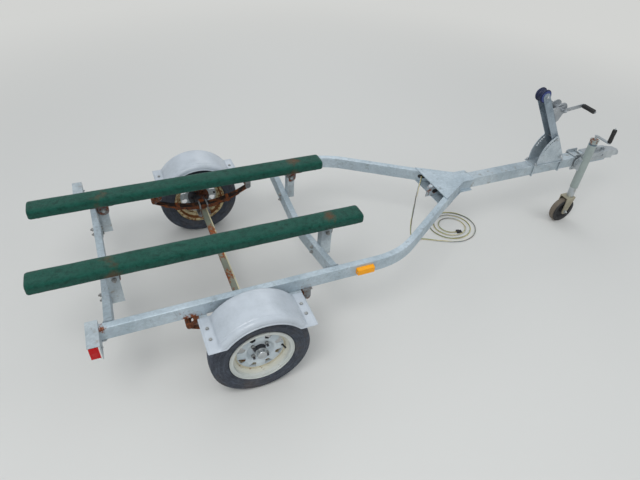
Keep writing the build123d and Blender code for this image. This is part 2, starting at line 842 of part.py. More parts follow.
# Hub: flange with studs and back ribs, a long back barrel, a short nose and a pressed cap
with BuildPart() as left_hub:
    with BuildSketch(Plane(origin=(axle_x, wheel_y, axle_z), x_dir=(1, 0, 0), z_dir=(0, 0, 1))):
        cap_top = hub_nose_length + cap_length
        with BuildLine():
            Polyline(
                (spindle_r + pin_gap, -hub_back_length),
                (hub_back_r, -hub_back_length),
                (hub_back_r, -hub_flange_t),
                (hub_flange_r, -hub_flange_t),
                (hub_flange_r, 0),
                (hub_nose_r, 0),
                (hub_nose_r, hub_nose_length),
                (cap_r, hub_nose_length),
                (cap_r, cap_top - 6),
                (cap_r - 6, cap_top),
                (0, cap_top),
                (0, hub_nose_length + side_gap),
                (spindle_r + pin_gap, hub_nose_length + side_gap),
                close=True,
            )
        make_face()
    revolve(axis=left_wheel_axis)
    with BuildSketch(side_plane(axle_x, wheel_y - hub_flange_t - 16, axle_z)):
        with PolarLocations(hub_back_r + 9, hub_rib_count):
            Rectangle(20, hub_rib_t)
    extrude(amount=16)
    with BuildSketch(side_plane(axle_x, wheel_y - hub_flange_t - 6, axle_z)):
        with PolarLocations(stud_circle_r, stud_count, start_angle=180 / stud_count):
            Circle(stud_d / 2)
    extrude(amount=hub_flange_t + 6 + stud_reach)
write_pair(left_hub, "hub")

# Lamp bracket: a plate on the rail's open end with a thin roof over the lamp
lamp_mid_y = lamp_inner_y + lamp_width / 2
lamp_mid_z = rail_bottom + lamp_height / 2
with BuildPart() as left_lamp_bracket:
    plate_height = lamp_height + lamp_plate_margin
    with Locations((at(0) - lamp_plate_t / 2, lamp_mid_y, rail_bottom + plate_height / 2)):
        Box(lamp_plate_t, lamp_width, plate_height)
    with Locations((at(0) - lamp_roof_reach / 2, lamp_mid_y, rail_bottom + plate_height - 1)):
        Box(lamp_roof_reach, lamp_width, 2)
write_both(left_lamp_bracket, "lamp_brackets")

# Tie-down tab: a flat under the rail's end with a slotted hole behind it
with BuildPart() as left_tab:
    with BuildSketch(Plane.XY.offset(rail_bottom - tab_t)):
        with Locations((at((tab_hold - tab_reach) / 2), rail_y)):
            RectangleRounded(tab_hold + tab_reach, tab_width, 10)
        with Locations((at(-tab_reach / 2), rail_y)):
            SlotOverall(tab_slot_l, tab_slot_w, rotation=90, mode=Mode.SUBTRACT)
    extrude(amount=tab_t)
write_both(left_tab, "tie_down_tabs")

# Lamp base: a pale moulded flange that carries the lens
base_x = at(0) - lamp_plate_t
with BuildPart() as left_lamp_base:
    with Locations((base_x - lamp_base_t / 2, lamp_mid_y, lamp_mid_z)):
        Box(lamp_base_t, lamp_width, lamp_height)
write_both(left_lamp_base, "lamp_bases")


def lamp_lens(with_window):
    """A hollow lens, open at the front; the left one has a window in its floor for the licence plate."""
    lens_x = base_x - lamp_base_t
    length = lamp_depth - lamp_base_t
    lens_width = lamp_width - 6
    lens_height = lamp_height - 4
    lens_plane = Plane(origin=(lens_x, lamp_mid_y, lamp_mid_z), x_dir=(0, -1, 0), z_dir=(-1, 0, 0))
    with BuildPart() as lens:
        with BuildSketch(lens_plane):
            RectangleRounded(lens_width, lens_height, lamp_corner_r)
        extrude(amount=length)
        with BuildSketch(lens_plane):
            RectangleRounded(
                lens_width - 2 * lamp_wall,
                lens_height - 2 * lamp_wall,
                lamp_corner_r - lamp_wall,
            )
        extrude(amount=length - lamp_wall, mode=Mode.SUBTRACT)
        with BuildSketch(lens_plane):
            RectangleRounded(lens_width + 2 * lens_rim, lens_height, lamp_corner_r)
            RectangleRounded(
                lens_width,
                lens_height - 2 * lens_rim,
                lamp_corner_r - lens_rim,
                mode=Mode.SUBTRACT,
            )
        extrude(amount=lens_rim_t)
        with BuildSketch(lens_plane.offset(length)):
            with Locations((-reflector_offset, 0)):
                RectangleRounded(reflector_width, reflector_height, lamp_corner_r / 2)
        extrude(amount=reflector_t)
        if with_window:
            with Locations((lens_x - length / 2, lamp_mid_y, lamp_mid_z - lamp_height / 2)):
                Box(window_w, window_l, 4 * lamp_wall, mode=Mode.SUBTRACT)
    return lens


left_lens = lamp_lens(True)
write(left_lens, "left_lamp_lens")
write(mirrored(lamp_lens(False), "right_lamp_lens"), "right_lamp_lens")

# Licence window: the clear pane in the left lens's floor
lens_mid_x = base_x - lamp_base_t - (lamp_depth - lamp_base_t) / 2
with BuildPart() as licence_window:
    with Locations((lens_mid_x, lamp_mid_y, lamp_mid_z - lamp_height / 2 + 2 + lamp_wall / 2)):
        Box(window_w, window_l, lamp_wall)
write(licence_window, "licence_window")

# Bulbs: one in each lamp, on a short socket that stands on the base
with BuildPart() as left_bulb:
    with BuildSketch(Plane(origin=(base_x - lamp_base_t, lamp_mid_y, lamp_mid_z), z_dir=(-1, 0, 0))):
        Circle(bulb_r)
    extrude(amount=bulb_length)
write_both(left_bulb, "lamp_bulbs")

# Side marker: an amber block on each rail's outer face
marker_plane = Plane(origin=(at(marker_station), rail_outer_y, rail_z), x_dir=(-1, 0, 0), z_dir=(0, 1, 0))
with BuildPart() as left_marker:
    with BuildSketch(marker_plane):
        RectangleRounded(marker_length, marker_height, 5)
    extrude(amount=marker_depth, taper=8)
write_both(left_marker, "side_markers")

# Bunks: carpeted boards with round edges
ear_top_z = bunk_bolt_z + ear_height - bracket_t
bunk_bottom_z = ear_top_z + bracket_t
with BuildPart() as left_bunk:
    with BuildSketch(
        Plane(origin=(at(bunk_rear), bunk_y, bunk_bottom_z + bunk_t / 2), x_dir=(0, 1, 0), z_dir=(1, 0, 0))
    ):
        RectangleRounded(bunk_width, bunk_t, bunk_corner_r)
    extrude(amount=bunk_length)
write_pair(left_bunk, "bunk")

# Bunk brackets: a base plate under the bunk with a round ear, bolted to an angle post
post_face_offset = rail_w / 2
ear_offset = post_face_offset + post_t + ear_width / 2 + 1
member_stations = (rear_member_station, mid_member_station)
with BuildPart() as left_brackets:
    for station in member_stations:
        ear_x = at(station + ear_offset)
        with Locations((ear_x, bunk_y, ear_top_z + bracket_t / 2)):
            Box(bracket_length, bracket_width, bracket_t)
        with BuildSketch(Plane(origin=(ear_x, bunk_y, bunk_bolt_z), x_dir=(1, 0, 0), z_dir=(0, -1, 0))):
            Circle(ear_width / 2)
            with Locations((0, (ear_top_z - bunk_bolt_z) / 2)):
                Rectangle(ear_width, ear_top_z - bunk_bolt_z)
            Circle(bunk_bolt_r + seat_gap, mode=Mode.SUBTRACT)
        extrude(amount=ear_t / 2, both=True)
write_both(left_brackets, "bunk_brackets")

# Bunk posts: angle uprights on the crossmembers' front faces, each with the bolt through the ear
post_bottom_z = member_centre_z(bunk_y) - post_foot_drop
post_top_z = bunk_bolt_z + 24
post_leg_y = bunk_y + ear_t / 2 + seat_gap
with BuildPart() as left_posts:
    for station in member_stations:
        face_x = at(station + post_face_offset)
        leg_reach = ear_offset - post_face_offset + 24
        with BuildSketch(Plane.XY.offset(post_bottom_z)):
            with Locations((face_x, post_leg_y)):
                Rectangle(leg_reach, post_t, align=(Align.MIN, Align.MIN))
            with Locations((face_x, post_leg_y + post_t)):
                Rectangle(post_t, post_leg, align=(Align.MIN, Align.MAX))
        extrude(amount=post_top_z - post_bottom_z)
        bolt_x = at(station + ear_offset)
        with BuildSketch(side_plane(bolt_x, bunk_y - ear_t / 2 - 10, bunk_bolt_z)):
            Circle(bunk_bolt_r)
        extrude(amount=post_leg_y - bunk_y + ear_t / 2 + 10)
write_both(left_posts, "bunk_posts")

# Bow bracket: a base plate clamped on the tongue, and two sector plates with holes for the arm's tilt
pivot_x = at(bow_station)
pivot_z = tongue_top + bow_pivot_rise
sector_inner_y = arm_width / 2 + moving_gap
sector_foot = bow_pivot_rise - sector_t
arm_dir = (cos(radians(bow_angle)), sin(radians(bow_angle)))
sector_rear = sqrt(sector_r**2 - sector_foot**2)
edge_run = sqrt(sector_r**2 - sector_nose_r**2)
edge_foot = (sector_nose_r * arm_dir[1], sector_nose_r * arm_dir[0])
edge_top = (edge_foot[0] - edge_run * arm_dir[0], edge_foot[1] + edge_run * arm_dir[1])
edge_top_angle = degrees(atan2(edge_top[1], edge_top[0]))
rear_angle = 180 + degrees(asin(sector_foot / sector_r))
bow_ubolt_y = tongue_side / 2 + ubolt_r + side_gap
bow_ubolt_xs = (-sector_rear - 12, sector_nose_r + 12)
bow_base_half = bow_ubolt_y + ubolt_r + 6
bow_ubolt_end_z = tongue_top + sector_t + 14
bow_ubolt_bend_z = tongue_bottom - ubolt_r - side_gap
with BuildPart() as bow_bracket:
    for start in (sector_inner_y, -sector_inner_y - sector_t):
        with BuildSketch(Plane(origin=(pivot_x, start, pivot_z), x_dir=(1, 0, 0), z_dir=(0, -1, 0))):
            with BuildLine():
                Line((-sector_rear, -sector_foot), (sector_nose_r, -sector_foot))
                Line((sector_nose_r, -sector_foot), (sector_nose_r, 0))
                CenterArc((0, 0), sector_nose_r, 0, 90 - bow_angle)
                Line(edge_foot, edge_top)
                CenterArc((0, 0), sector_r, edge_top_angle, rear_angle - edge_top_angle)
            make_face()
            for hole in range(sector_hole_count):
                hole_angle = 180 - bow_angle + hole * sector_hole_pitch
                with PolarLocations(sector_hole_circle_r, 1, start_angle=hole_angle):
                    Circle(sector_hole_r, mode=Mode.SUBTRACT)
        extrude(amount=-sector_t)
    with BuildSketch(Plane.XY.offset(tongue_top)):
        with Locations((pivot_x + (bow_ubolt_xs[0] + bow_ubolt_xs[1]) / 2, 0)):
            Rectangle(bow_ubolt_xs[1] - bow_ubolt_xs[0] + 24, 2 * bow_base_half)
    extrude(amount=sector_t)
    for ubolt_offset in bow_ubolt_xs:
        hoop_plane = Plane(origin=(pivot_x + ubolt_offset, 0, 0), x_dir=(0, 1, 0), z_dir=(1, 0, 0))
        with BuildLine(hoop_plane) as hoop:
            FilletPolyline(
                (-bow_ubolt_y, bow_ubolt_end_z),
                (-bow_ubolt_y, bow_ubolt_bend_z),
                (bow_ubolt_y, bow_ubolt_bend_z),
                (bow_ubolt_y, bow_ubolt_end_z),
                radius=ubolt_r * 1.2,
            )
        with BuildSketch(Plane(origin=hoop.line @ 0, z_dir=hoop.line % 0)):
            Circle(ubolt_r)
        sweep()
    with BuildSketch(side_plane(pivot_x, -sector_inner_y - sector_t - 8, pivot_z)):
        Circle(bow_pin_r)
    extrude(amount=2 * (sector_inner_y + sector_t + 8))
write(bow_bracket, "bow_bracket")

# Bow arm: a channel whose flanges run on past the web as ears for the roller
arm_x_dir = (-arm_dir[0], 0, arm_dir[1])
arm_across = (arm_dir[1], 0, arm_dir[0])
arm_plane = Plane(origin=(pivot_x, 0, pivot_z), x_dir=arm_x_dir, z_dir=(0, 1, 0))
ear_inner_y = arm_width / 2 - arm_wall
with BuildPart() as bow_arm:
    for start in (ear_inner_y, -arm_width / 2):
        with BuildSketch(arm_plane.offset(start)):
            with Locations((arm_length / 2, 0)):
                SlotCenterToCenter(arm_length, arm_depth)
            Circle(bow_pin_r + pin_gap, mode=Mode.SUBTRACT)
            with Locations((sector_hole_circle_r, 0)):
                Circle(sector_hole_r, mode=Mode.SUBTRACT)
        extrude(amount=arm_wall)
    web_mid = (arm_web_start + arm_web_end) / 2
    with BuildSketch(arm_plane.offset(-ear_inner_y)):
        with Locations((web_mid, arm_depth / 2 - arm_wall / 2)):
            Rectangle(arm_web_end - arm_web_start, arm_wall)
    extrude(amount=2 * ear_inner_y)
    with BuildSketch(arm_plane.offset(-arm_width / 2 - 6)):
        with Locations((arm_length, 0)):
            Circle(bow_pin_r)
    extrude(amount=arm_width + 12)
write(bow_arm, "bow_arm")

# Bow roller: a waisted rubber roller on the arm's end pin
roller_boss_half = ear_inner_y - side_gap
roller_half = ear_inner_y - moving_gap
roller_centre = Vector(pivot_x - arm_length * arm_dir[0], 0, pivot_z + arm_length * arm_dir[1])
roller_axis = Axis(roller_centre, (0, 1, 0))
roller_bore_r = bow_pin_r + pin_gap
roller_lip_r = roller_r - roller_lip
roller_crown_half = roller_half - roller_lip
roller_neck_half = roller_half - 2 * roller_lip
with BuildPart() as bow_roller:
    with BuildSketch(Plane(origin=roller_centre, x_dir=(1, 0, 0), z_dir=(0, 0, 1))):
        with BuildLine():
            Polyline(
                (roller_lip_r, -roller_half),
                (roller_boss_r, -roller_half),
                (roller_boss_r, -roller_boss_half),
                (roller_bore_r, -roller_boss_half),
                (roller_bore_r, roller_boss_half),
                (roller_boss_r, roller_boss_half),
                (roller_boss_r, roller_half),
                (roller_lip_r, roller_half),
            )
            near_end = (roller_lip_r, -roller_half)
            near_neck = (roller_lip_r, -roller_neck_half)
            far_neck = (roller_lip_r, roller_neck_half)
            far_end = (roller_lip_r, roller_half)
            ThreePointArc(near_end, (roller_r, -roller_crown_half), near_neck)
            ThreePointArc(near_neck, (roller_waist_r, 0), far_neck)
            ThreePointArc(far_neck, (roller_r, roller_crown_half), far_end)
        make_face()
    revolve(axis=roller_axis)
write(bow_roller, "bow_roller")

# Winch frame: a base on the arm's web with two round-topped cheeks and a resting pawl
winch_base = arm_depth / 2
winch_axis_across = winch_base + winch_axis_rise
with BuildPart() as winch_frame:
    with BuildSketch(arm_plane.offset(-winch_cheek_y)):
        with Locations((winch_along, winch_base + winch_wall / 2)):
            Rectangle(winch_base_length, winch_wall)
    extrude(amount=2 * winch_cheek_y)
    for start in (-winch_cheek_y, winch_cheek_y - winch_wall):
        with BuildSketch(arm_plane.offset(start)):
            with BuildLine():
                half = winch_base_length / 2
                Polyline(
                    (winch_along + half, winch_base),
                    (winch_along - half, winch_base),
                    (winch_along - half, winch_base + 16),
                    (winch_along - winch_cheek_r, winch_axis_across),
                    (winch_along + winch_cheek_r, winch_axis_across),
                    (winch_along + half, winch_base + 16),
                    close=True,
                )
            make_face()
            with Locations((winch_along, winch_axis_across)):
                Circle(winch_cheek_r)
                Circle(winch_shaft_r + pin_gap, mode=Mode.SUBTRACT)
        extrude(amount=winch_wall)
    pawl_foot = (winch_along + 41, winch_base + 28)
    with BuildSketch(arm_plane.offset(winch_cheek_y)):
        with Locations(pawl_foot):
            Circle(4)
    extrude(amount=moving_gap + ratchet_t)
    with BuildSketch(arm_plane.offset(winch_cheek_y + moving_gap)):
        with Locations((pawl_foot[0], pawl_foot[1] + 12)):
            SlotCenterToCenter(24, 10, rotation=90)
    extrude(amount=ratchet_t)
write(winch_frame, "winch_frame")

# Winch drum: spool, shaft, ratchet wheel and crank arm, turning as one
ratchet_y = winch_cheek_y + moving_gap
crank_y = -winch_cheek_y - side_gap - crank_boss
spool_half = winch_cheek_y - winch_wall - moving_gap
spacer_half = winch_cheek_y - winch_wall - side_gap
spool_table = [
    # start, end, radius
    (-spool_half, spool_half, drum_core_r),
    (-spool_half, -spool_half + drum_flange_t, drum_flange_r),
    (spool_half - drum_flange_t, spool_half, drum_flange_r),
    (-spacer_half, spacer_half, winch_shaft_r + 4),
    (crank_y - crank_t - 6, ratchet_y + ratchet_t + 5, winch_shaft_r),
    (crank_y, crank_y + crank_boss, winch_shaft_r + 4),
    (winch_cheek_y + side_gap, ratchet_y, winch_shaft_r + 4),
]
ratchet_outline = []
for tooth in range(ratchet_teeth):
    root_angle = radians(360 * tooth / ratchet_teeth)
    tip_angle = radians(360 * (tooth + 1) / ratchet_teeth)
    ratchet_outline.append((ratchet_root_r * cos(root_angle), ratchet_root_r * sin(root_angle)))
    ratchet_outline.append((ratchet_r * cos(tip_angle), ratchet_r * sin(tip_angle)))
crank_run = (crank_length * cos(radians(crank_tilt)), crank_length * sin(radians(crank_tilt)))
crank_end = (winch_along + crank_run[0], winch_axis_across + crank_run[1])
with BuildPart() as winch_drum:
    for start, end, radius in spool_table:
        with BuildSketch(arm_plane.offset(start)):
            with Locations((winch_along, winch_axis_across)):
                Circle(radius)
        extrude(amount=end - start)
    with BuildSketch(arm_plane.offset(ratchet_y)):
        with Locations((winch_along, winch_axis_across)):
            Polygon(*ratchet_outline, align=None)
    extrude(amount=ratchet_t)
    with BuildSketch(arm_plane.offset(crank_y - crank_t)):
        with Locations((winch_along + crank_run[0] / 2, winch_axis_across + crank_run[1] / 2)):
            SlotCenterToCenter(crank_length, crank_width, rotation=crank_tilt)
    extrude(amount=crank_t)
    with BuildSketch(arm_plane.offset(crank_y)):
        with Locations(crank_end):
            Circle(grip_pin_r)
    extrude(amount=-crank_t - grip_length - 8)
write(winch_drum, "winch_drum")


def grip(plane, end_gap):
    """A ribbed sleeve grip round its pin, with a rounded shoulder at each end."""
    with BuildPart() as sleeve:
        with BuildSketch(plane.offset(end_gap)):
            Circle(grip_r - 2)
            Circle(grip_pin_r + seat_gap, mode=Mode.SUBTRACT)
        extrude(amount=grip_length)
        with BuildSketch(plane.offset(end_gap + 6)):
            Circle(grip_r)
            Circle(grip_pin_r + seat_gap, mode=Mode.SUBTRACT)
        extrude(amount=grip_length - 12)
    return sleeve


winch_grip_origin = arm_plane.from_local_coords(Vector(crank_end[0], crank_end[1], crank_y - crank_t))
winch_grip_plane = Plane(origin=winch_grip_origin, x_dir=arm_x_dir, z_dir=(0, -1, 0))
write(grip(winch_grip_plane, side_gap), "winch_grip")

# Coupler: a channel over the tongue, a tapered neck and a domed ball socket open below
ball_x = at(coupler_tip - dome_r)
ball_z = rail_z - ball_drop
channel_inner_half = tongue_side / 2 + seat_gap
channel_half = channel_inner_half + coupler_wall
channel_top = tongue_top + coupler_wall
neck_x = at(tongue_front) + 1
neck_table = [
    # mode, start half width, start top, end x, end half width, end top
    (Mode.ADD, channel_half, channel_top, ball_x, dome_r - 4, ball_z + dome_r),
    (Mode.SUBTRACT, channel_inner_half, tongue_top, ball_x - dome_r, dome_r - 5, ball_z + dome_r + 2),
]
with BuildPart() as coupler:
    with BuildSketch(Plane(origin=(at(coupler_rear), 0, 0), x_dir=(0, 1, 0), z_dir=(1, 0, 0))):
        with Locations((0, channel_top)):
            Rectangle(2 * channel_half, coupler_skirt, align=(Align.CENTER, Align.MAX))
        with Locations((0, tongue_top)):
            Rectangle(
                2 * channel_inner_half,
                2 * coupler_skirt,
                align=(Align.CENTER, Align.MAX),
                mode=Mode.SUBTRACT,
            )
    extrude(amount=neck_x - at(coupler_rear))
    for mode, start_half, start_top, end_x, end_half, end_top in neck_table:
        with BuildSketch(Plane(origin=(neck_x, 0, 0), x_dir=(0, 1, 0), z_dir=(1, 0, 0))):
            with Locations((0, start_top)):
                Rectangle(2 * start_half, coupler_skirt, align=(Align.CENTER, Align.MAX))
        with BuildSketch(Plane(origin=(end_x, 0, 0), x_dir=(0, 1, 0), z_dir=(1, 0, 0))):
            with Locations((0, end_top)):
                Rectangle(2 * end_half, coupler_skirt, align=(Align.CENTER, Align.MAX))
        loft(mode=mode)
    with Locations((ball_x, 0, ball_z)):
        Sphere(dome_r)
        Sphere(ball_r + 1, mode=Mode.SUBTRACT)
    with Locations((ball_x, 0, ball_z - ball_lip)):
        Box(
            3 * dome_r,
            3 * dome_r,
            4 * dome_r,
            align=(Align.CENTER, Align.CENTER, Align.MAX),
            mode=Mode.SUBTRACT,
        )
    with BuildSketch(Plane.XY.offset(tongue_top)):
        for hole_station, hole_y, hole_d in coupler_holes:
            with Locations((at(hole_station), hole_y)):
                Circle(hole_d / 2)
    extrude(amount=coupler_wall, mode=Mode.SUBTRACT)
    rib_x = (at(coupler_rear) + neck_x) / 2
    with BuildSketch(side_plane(rib_x, -channel_half - coupler_rib_t, rail_z)):
        SlotOverall(coupler_rib_length, coupler_rib_height)
    extrude(amount=coupler_rib_t + coupler_wall / 2)
    with BuildSketch(side_plane(rib_x, channel_half - coupler_wall / 2, rail_z)):
        SlotOverall(coupler_rib_length, coupler_rib_height)
    extrude(amount=coupler_rib_t + coupler_wall / 2)
write(coupler, "coupler")

# Coupler latch: a post on the neck and a lever lying back over the tongue, with a curled tail


def tail_point(centre, radius, angle):
    """A point on the circle round the tail's centre."""
    return (centre[0] + radius * cos(radians(angle)), centre[1] + radius * sin(radians(angle)))


latch_x = at(tongue_front) - 16
latch_base_z = channel_top
latch_plane = Plane(origin=(latch_x, -latch_width / 2, latch_base_z), x_dir=(-1, 0, 0), z_dir=(0, 1, 0))
with BuildPart() as coupler_latch:
    with BuildSketch(latch_plane):
        with BuildLine():
            Polyline(
                (-14, 0),
                (14, 0),
                (14, latch_lever_rise - latch_t - 4),
                (30, latch_lever_rise - latch_t),
                (latch_length - latch_hook_r, latch_tail_rise - latch_t),
                (latch_length - latch_hook_r, latch_tail_rise),
                (0, latch_lever_rise),
                (-14, 10),
                close=True,
            )
        make_face()
        with BuildLine():
            tail = (latch_length - latch_hook_r, latch_tail_rise - latch_t + latch_hook_r)
            CenterArc(tail, latch_hook_r, -90, 120)
            CenterArc(tail, latch_hook_r - latch_t, -90, 120)
            Line(tail_point(tail, latch_hook_r, -90), tail_point(tail, latch_hook_r - latch_t, -90))
            Line(tail_point(tail, latch_hook_r, 30), tail_point(tail, latch_hook_r - latch_t, 30))
        make_face()
    extrude(amount=latch_width)
    pivot_place = (latch_x, -latch_width / 2 - 3, latch_base_z + 10)
    pivot_plane = Plane(origin=pivot_place, x_dir=(-1, 0, 0), z_dir=(0, 1, 0))
    with BuildSketch(pivot_plane):
        Circle(latch_pivot_r)
    extrude(amount=latch_width + 6)
write(coupler_latch, "coupler_latch")

# Jack mount: clamp plates on both sides of the tongue, four bolts over and under it, and the swivel boss
jack_x = at(jack_station)
plate_inner_y = tongue_side / 2
jack_bolt_z = tongue_side / 2 + jack_bolt_r + side_gap
swivel_y = plate_inner_y + jack_plate_t + swivel_t
with BuildPart() as jack_mount:
    for start in (plate_inner_y, -plate_inner_y - jack_plate_t):
        with BuildSketch(side_plane(jack_x, start, rail_z)):
            RectangleRounded(jack_plate_length, jack_plate_height, 10)
        extrude(amount=jack_plate_t)
    with BuildSketch(side_plane(jack_x, -plate_inner_y - jack_plate_t - 6, rail_z)):
        for bolt_x in jack_bolt_xs:
            with Locations((bolt_x, jack_bolt_z), (bolt_x, -jack_bolt_z)):
                Circle(jack_bolt_r)
    extrude(amount=2 * (plate_inner_y + jack_plate_t + 6))
    with BuildSketch(side_plane(jack_x, -swivel_y, rail_z)):
        Circle(swivel_r - 16)
    extrude(amount=swivel_t)
    with BuildSketch(side_plane(jack_x, -swivel_y - saddle_t - 4, rail_z)):
        Circle(swivel_pin_r)
    extrude(amount=saddle_t + 4)
write(jack_mount, "jack_mount")

# Jack bracket: a disc that turns on the boss, welded to a saddle on the outer tube
saddle_outer_y = swivel_y + side_gap + saddle_t
jack_y = saddle_outer_y + saddle_depth + jack_tube_r
with BuildPart() as jack_bracket:
    with BuildSketch(side_plane(jack_x, -saddle_outer_y, rail_z)):
        Circle(swivel_r)
        Circle(swivel_pin_r + pin_gap, mode=Mode.SUBTRACT)
        with PolarLocations(swivel_hole_circle_r, 3, start_angle=90, angular_range=180, endpoint=True):
            Circle(swivel_hole_r, mode=Mode.SUBTRACT)
    extrude(amount=saddle_t)
    pin_table = [
        # start, end, radius
        (0, pull_pin_reach - 2, pull_pin_r),
        (pull_pin_reach / 2, pull_pin_reach, pull_pin_collar_r),
    ]
    for start, end, radius in pin_table:
        with BuildSketch(side_plane(jack_x + swivel_hole_circle_r, -saddle_outer_y - end, rail_z)):
            Circle(radius)
        extrude(amount=end - start)
    with BuildSketch(Plane.XY.offset(rail_z - swivel_r)):
        with Locations((jack_x, -saddle_outer_y)):
            Rectangle(2 * jack_tube_r, jack_y - saddle_outer_y, align=(Align.CENTER, Align.MAX))
        with Locations((jack_x, -jack_y)):
            Circle(jack_tube_r + seat_gap, mode=Mode.SUBTRACT)
        with Locations((jack_x, -saddle_outer_y)):
            Rectangle(3 * swivel_pin_r, saddle_notch, align=(Align.CENTER, Align.MAX), mode=Mode.SUBTRACT)
    extrude(amount=2 * swivel_r)
write(jack_bracket, "jack_bracket")

# Jack tube: the outer tube with its cap
with BuildPart() as jack_tube:
    with BuildSketch(Plane.XY.offset(jack_tube_bottom)):
        with Locations((jack_x, -jack_y)):
            Circle(jack_tube_r)
            Circle(jack_tube_r - jack_tube_wall, mode=Mode.SUBTRACT)
    extrude(amount=jack_tube_top - jack_tube_bottom)
    with BuildSketch(Plane.XY.offset(jack_tube_top)):
        with Locations((jack_x, -jack_y)):
            Circle(jack_tube_r + 2)
    extrude(amount=6)
write(jack_tube, "jack_tube")

# Jack crank: shaft out of the cap, flat arm and an upright pin for the grip
crank_base_z = jack_tube_top + 6
jack_arm_z = crank_base_z + 26
with BuildPart() as jack_crank:
    with BuildSketch(Plane.XY.offset(crank_base_z)):
        with Locations((jack_x, -jack_y)):
            Circle(jack_shaft_r)
    extrude(amount=jack_arm_z - crank_base_z + crank_t)
    with BuildSketch(Plane.XY.offset(jack_arm_z)):
        with Locations((jack_x, -jack_y - jack_crank_length / 2)):
            SlotCenterToCenter(jack_crank_length, crank_width, rotation=90)
    extrude(amount=crank_t)
    with BuildSketch(Plane.XY.offset(jack_arm_z)):
        with Locations((jack_x, -jack_y - jack_crank_length)):
            Circle(grip_pin_r)
    extrude(amount=crank_t + grip_length + 8)
write(jack_crank, "jack_crank")
jack_grip_plane = Plane(origin=(jack_x, -jack_y - jack_crank_length, jack_arm_z + crank_t), z_dir=(0, 0, 1))
write(grip(jack_grip_plane, seat_gap), "jack_grip")

# Jack leg: the inner tube, closed below by a pin plate for the fork
fork_plate_z = caster_wheel_r * 2 + fork_clear
leg_bottom_z = fork_plate_z + fork_t + side_gap
with BuildPart() as jack_leg:
    with BuildSketch(Plane.XY.offset(leg_bottom_z)):
        with Locations((jack_x, -jack_y)):
            Circle(jack_leg_r)
            Circle(jack_leg_r - jack_leg_wall, mode=Mode.SUBTRACT)
    extrude(amount=jack_leg_top - leg_bottom_z)
    with BuildSketch(Plane.XY.offset(leg_bottom_z)):
        with Locations((jack_x, -jack_y)):
            Circle(jack_leg_r)
    extrude(amount=8)
    with BuildSketch(Plane.XY.offset(fork_plate_z - 6)):
        with Locations((jack_x, -jack_y)):
            Circle(caster_pin_r)
    extrude(amount=leg_bottom_z - fork_plate_z + 6)
write(jack_leg, "jack_leg")

# Jack fork: a bent strap over the wheel with its axle, trailing behind the leg
caster_x = jack_x - caster_trail
fork_inner_y = caster_wheel_width / 2 + moving_gap
caster_hub_half = fork_inner_y - side_gap
with BuildPart() as jack_fork:
    with BuildSketch(Plane.XY.offset(fork_plate_z)):
        with Locations(((jack_x + caster_x) / 2, -jack_y)):
            Rectangle(fork_width + caster_trail, 2 * (fork_inner_y + fork_t))
        with Locations((jack_x, -jack_y)):
            Circle(caster_pin_r + pin_gap, mode=Mode.SUBTRACT)
    extrude(amount=fork_t)
    for start in (-jack_y + fork_inner_y, -jack_y - fork_inner_y - fork_t):
        with BuildSketch(Plane(origin=(caster_x, start, caster_wheel_r), x_dir=(1, 0, 0), z_dir=(0, -1, 0))):
            Circle(fork_width / 2)
            top = fork_plate_z - caster_wheel_r
            with BuildLine():
                Polyline(
                    (-fork_width / 2, 0),
                    (fork_width / 2, 0),
                    (fork_width / 2 + caster_trail, top),
                    (-fork_width / 2, top),
                    close=True,
                )
            make_face()
        extrude(amount=-fork_t)
    with BuildSketch(side_plane(caster_x, -jack_y - fork_inner_y - fork_t - 5, caster_wheel_r)):
        Circle(caster_pin_r)
    extrude(amount=2 * (fork_inner_y + fork_t + 5))
write(jack_fork, "jack_fork")

# Jack wheel: solid rubber tread with rounded shoulders on a dished centre
caster_axis = Axis((caster_x, -jack_y, caster_wheel_r), (0, 1, 0))
with BuildPart() as jack_wheel:
    with BuildSketch(Plane(origin=(caster_x, -jack_y, caster_wheel_r), x_dir=(1, 0, 0), z_dir=(0, 0, 1))):
        half = caster_wheel_width / 2
        edge_r = caster_wheel_r - 12
        round_r = caster_wheel_r - 3.5
        round_half = half - 6
        flat_half = half - 16
        with BuildLine():
            Line((caster_pin_r + pin_gap, -caster_hub_half), (caster_hub_r, -caster_hub_half))
            Line((caster_hub_r, -caster_hub_half), (caster_hub_r + 3, -8))
            Line((caster_hub_r + 3, -8), (caster_rim_r, -8))
            Line((caster_rim_r, -8), (caster_rim_r + 6, -half + 2))
            Line((caster_rim_r + 6, -half + 2), (edge_r, -half))
            ThreePointArc((edge_r, -half), (round_r, -round_half), (caster_wheel_r, -flat_half))
            Line((caster_wheel_r, -flat_half), (caster_wheel_r, flat_half))
            ThreePointArc((caster_wheel_r, flat_half), (round_r, round_half), (edge_r, half))
            Line((edge_r, half), (caster_rim_r + 6, half - 2))
            Line((caster_rim_r + 6, half - 2), (caster_rim_r, 8))
            Line((caster_rim_r, 8), (caster_hub_r + 3, 8))
            Line((caster_hub_r + 3, 8), (caster_hub_r, caster_hub_half))
            Line((caster_hub_r, caster_hub_half), (caster_pin_r + pin_gap, caster_hub_half))
            Line((caster_pin_r + pin_gap, caster_hub_half), (caster_pin_r + pin_gap, -caster_hub_half))
        make_face()
    revolve(axis=caster_axis)
write(jack_wheel, "jack_wheel")

# Grommets: rubber plugs in the rails' and the tongue's oval slots


def grommet(face_plane, wall):
    """An oval plug through a wall, with a lip outside; the plane lies on the wall's outer face."""
    with BuildPart() as plug:
        with BuildSketch(face_plane.offset(-wall)):
            SlotOverall(slot_length - 2 * seat_gap, slot_height - 2 * seat_gap)
        extrude(amount=wall + seat_gap)
        with BuildSketch(face_plane.offset(seat_gap)):
            SlotOverall(slot_length + 2 * grommet_lip, slot_height + 2 * grommet_lip)
        extrude(amount=grommet_stand)
    return plug


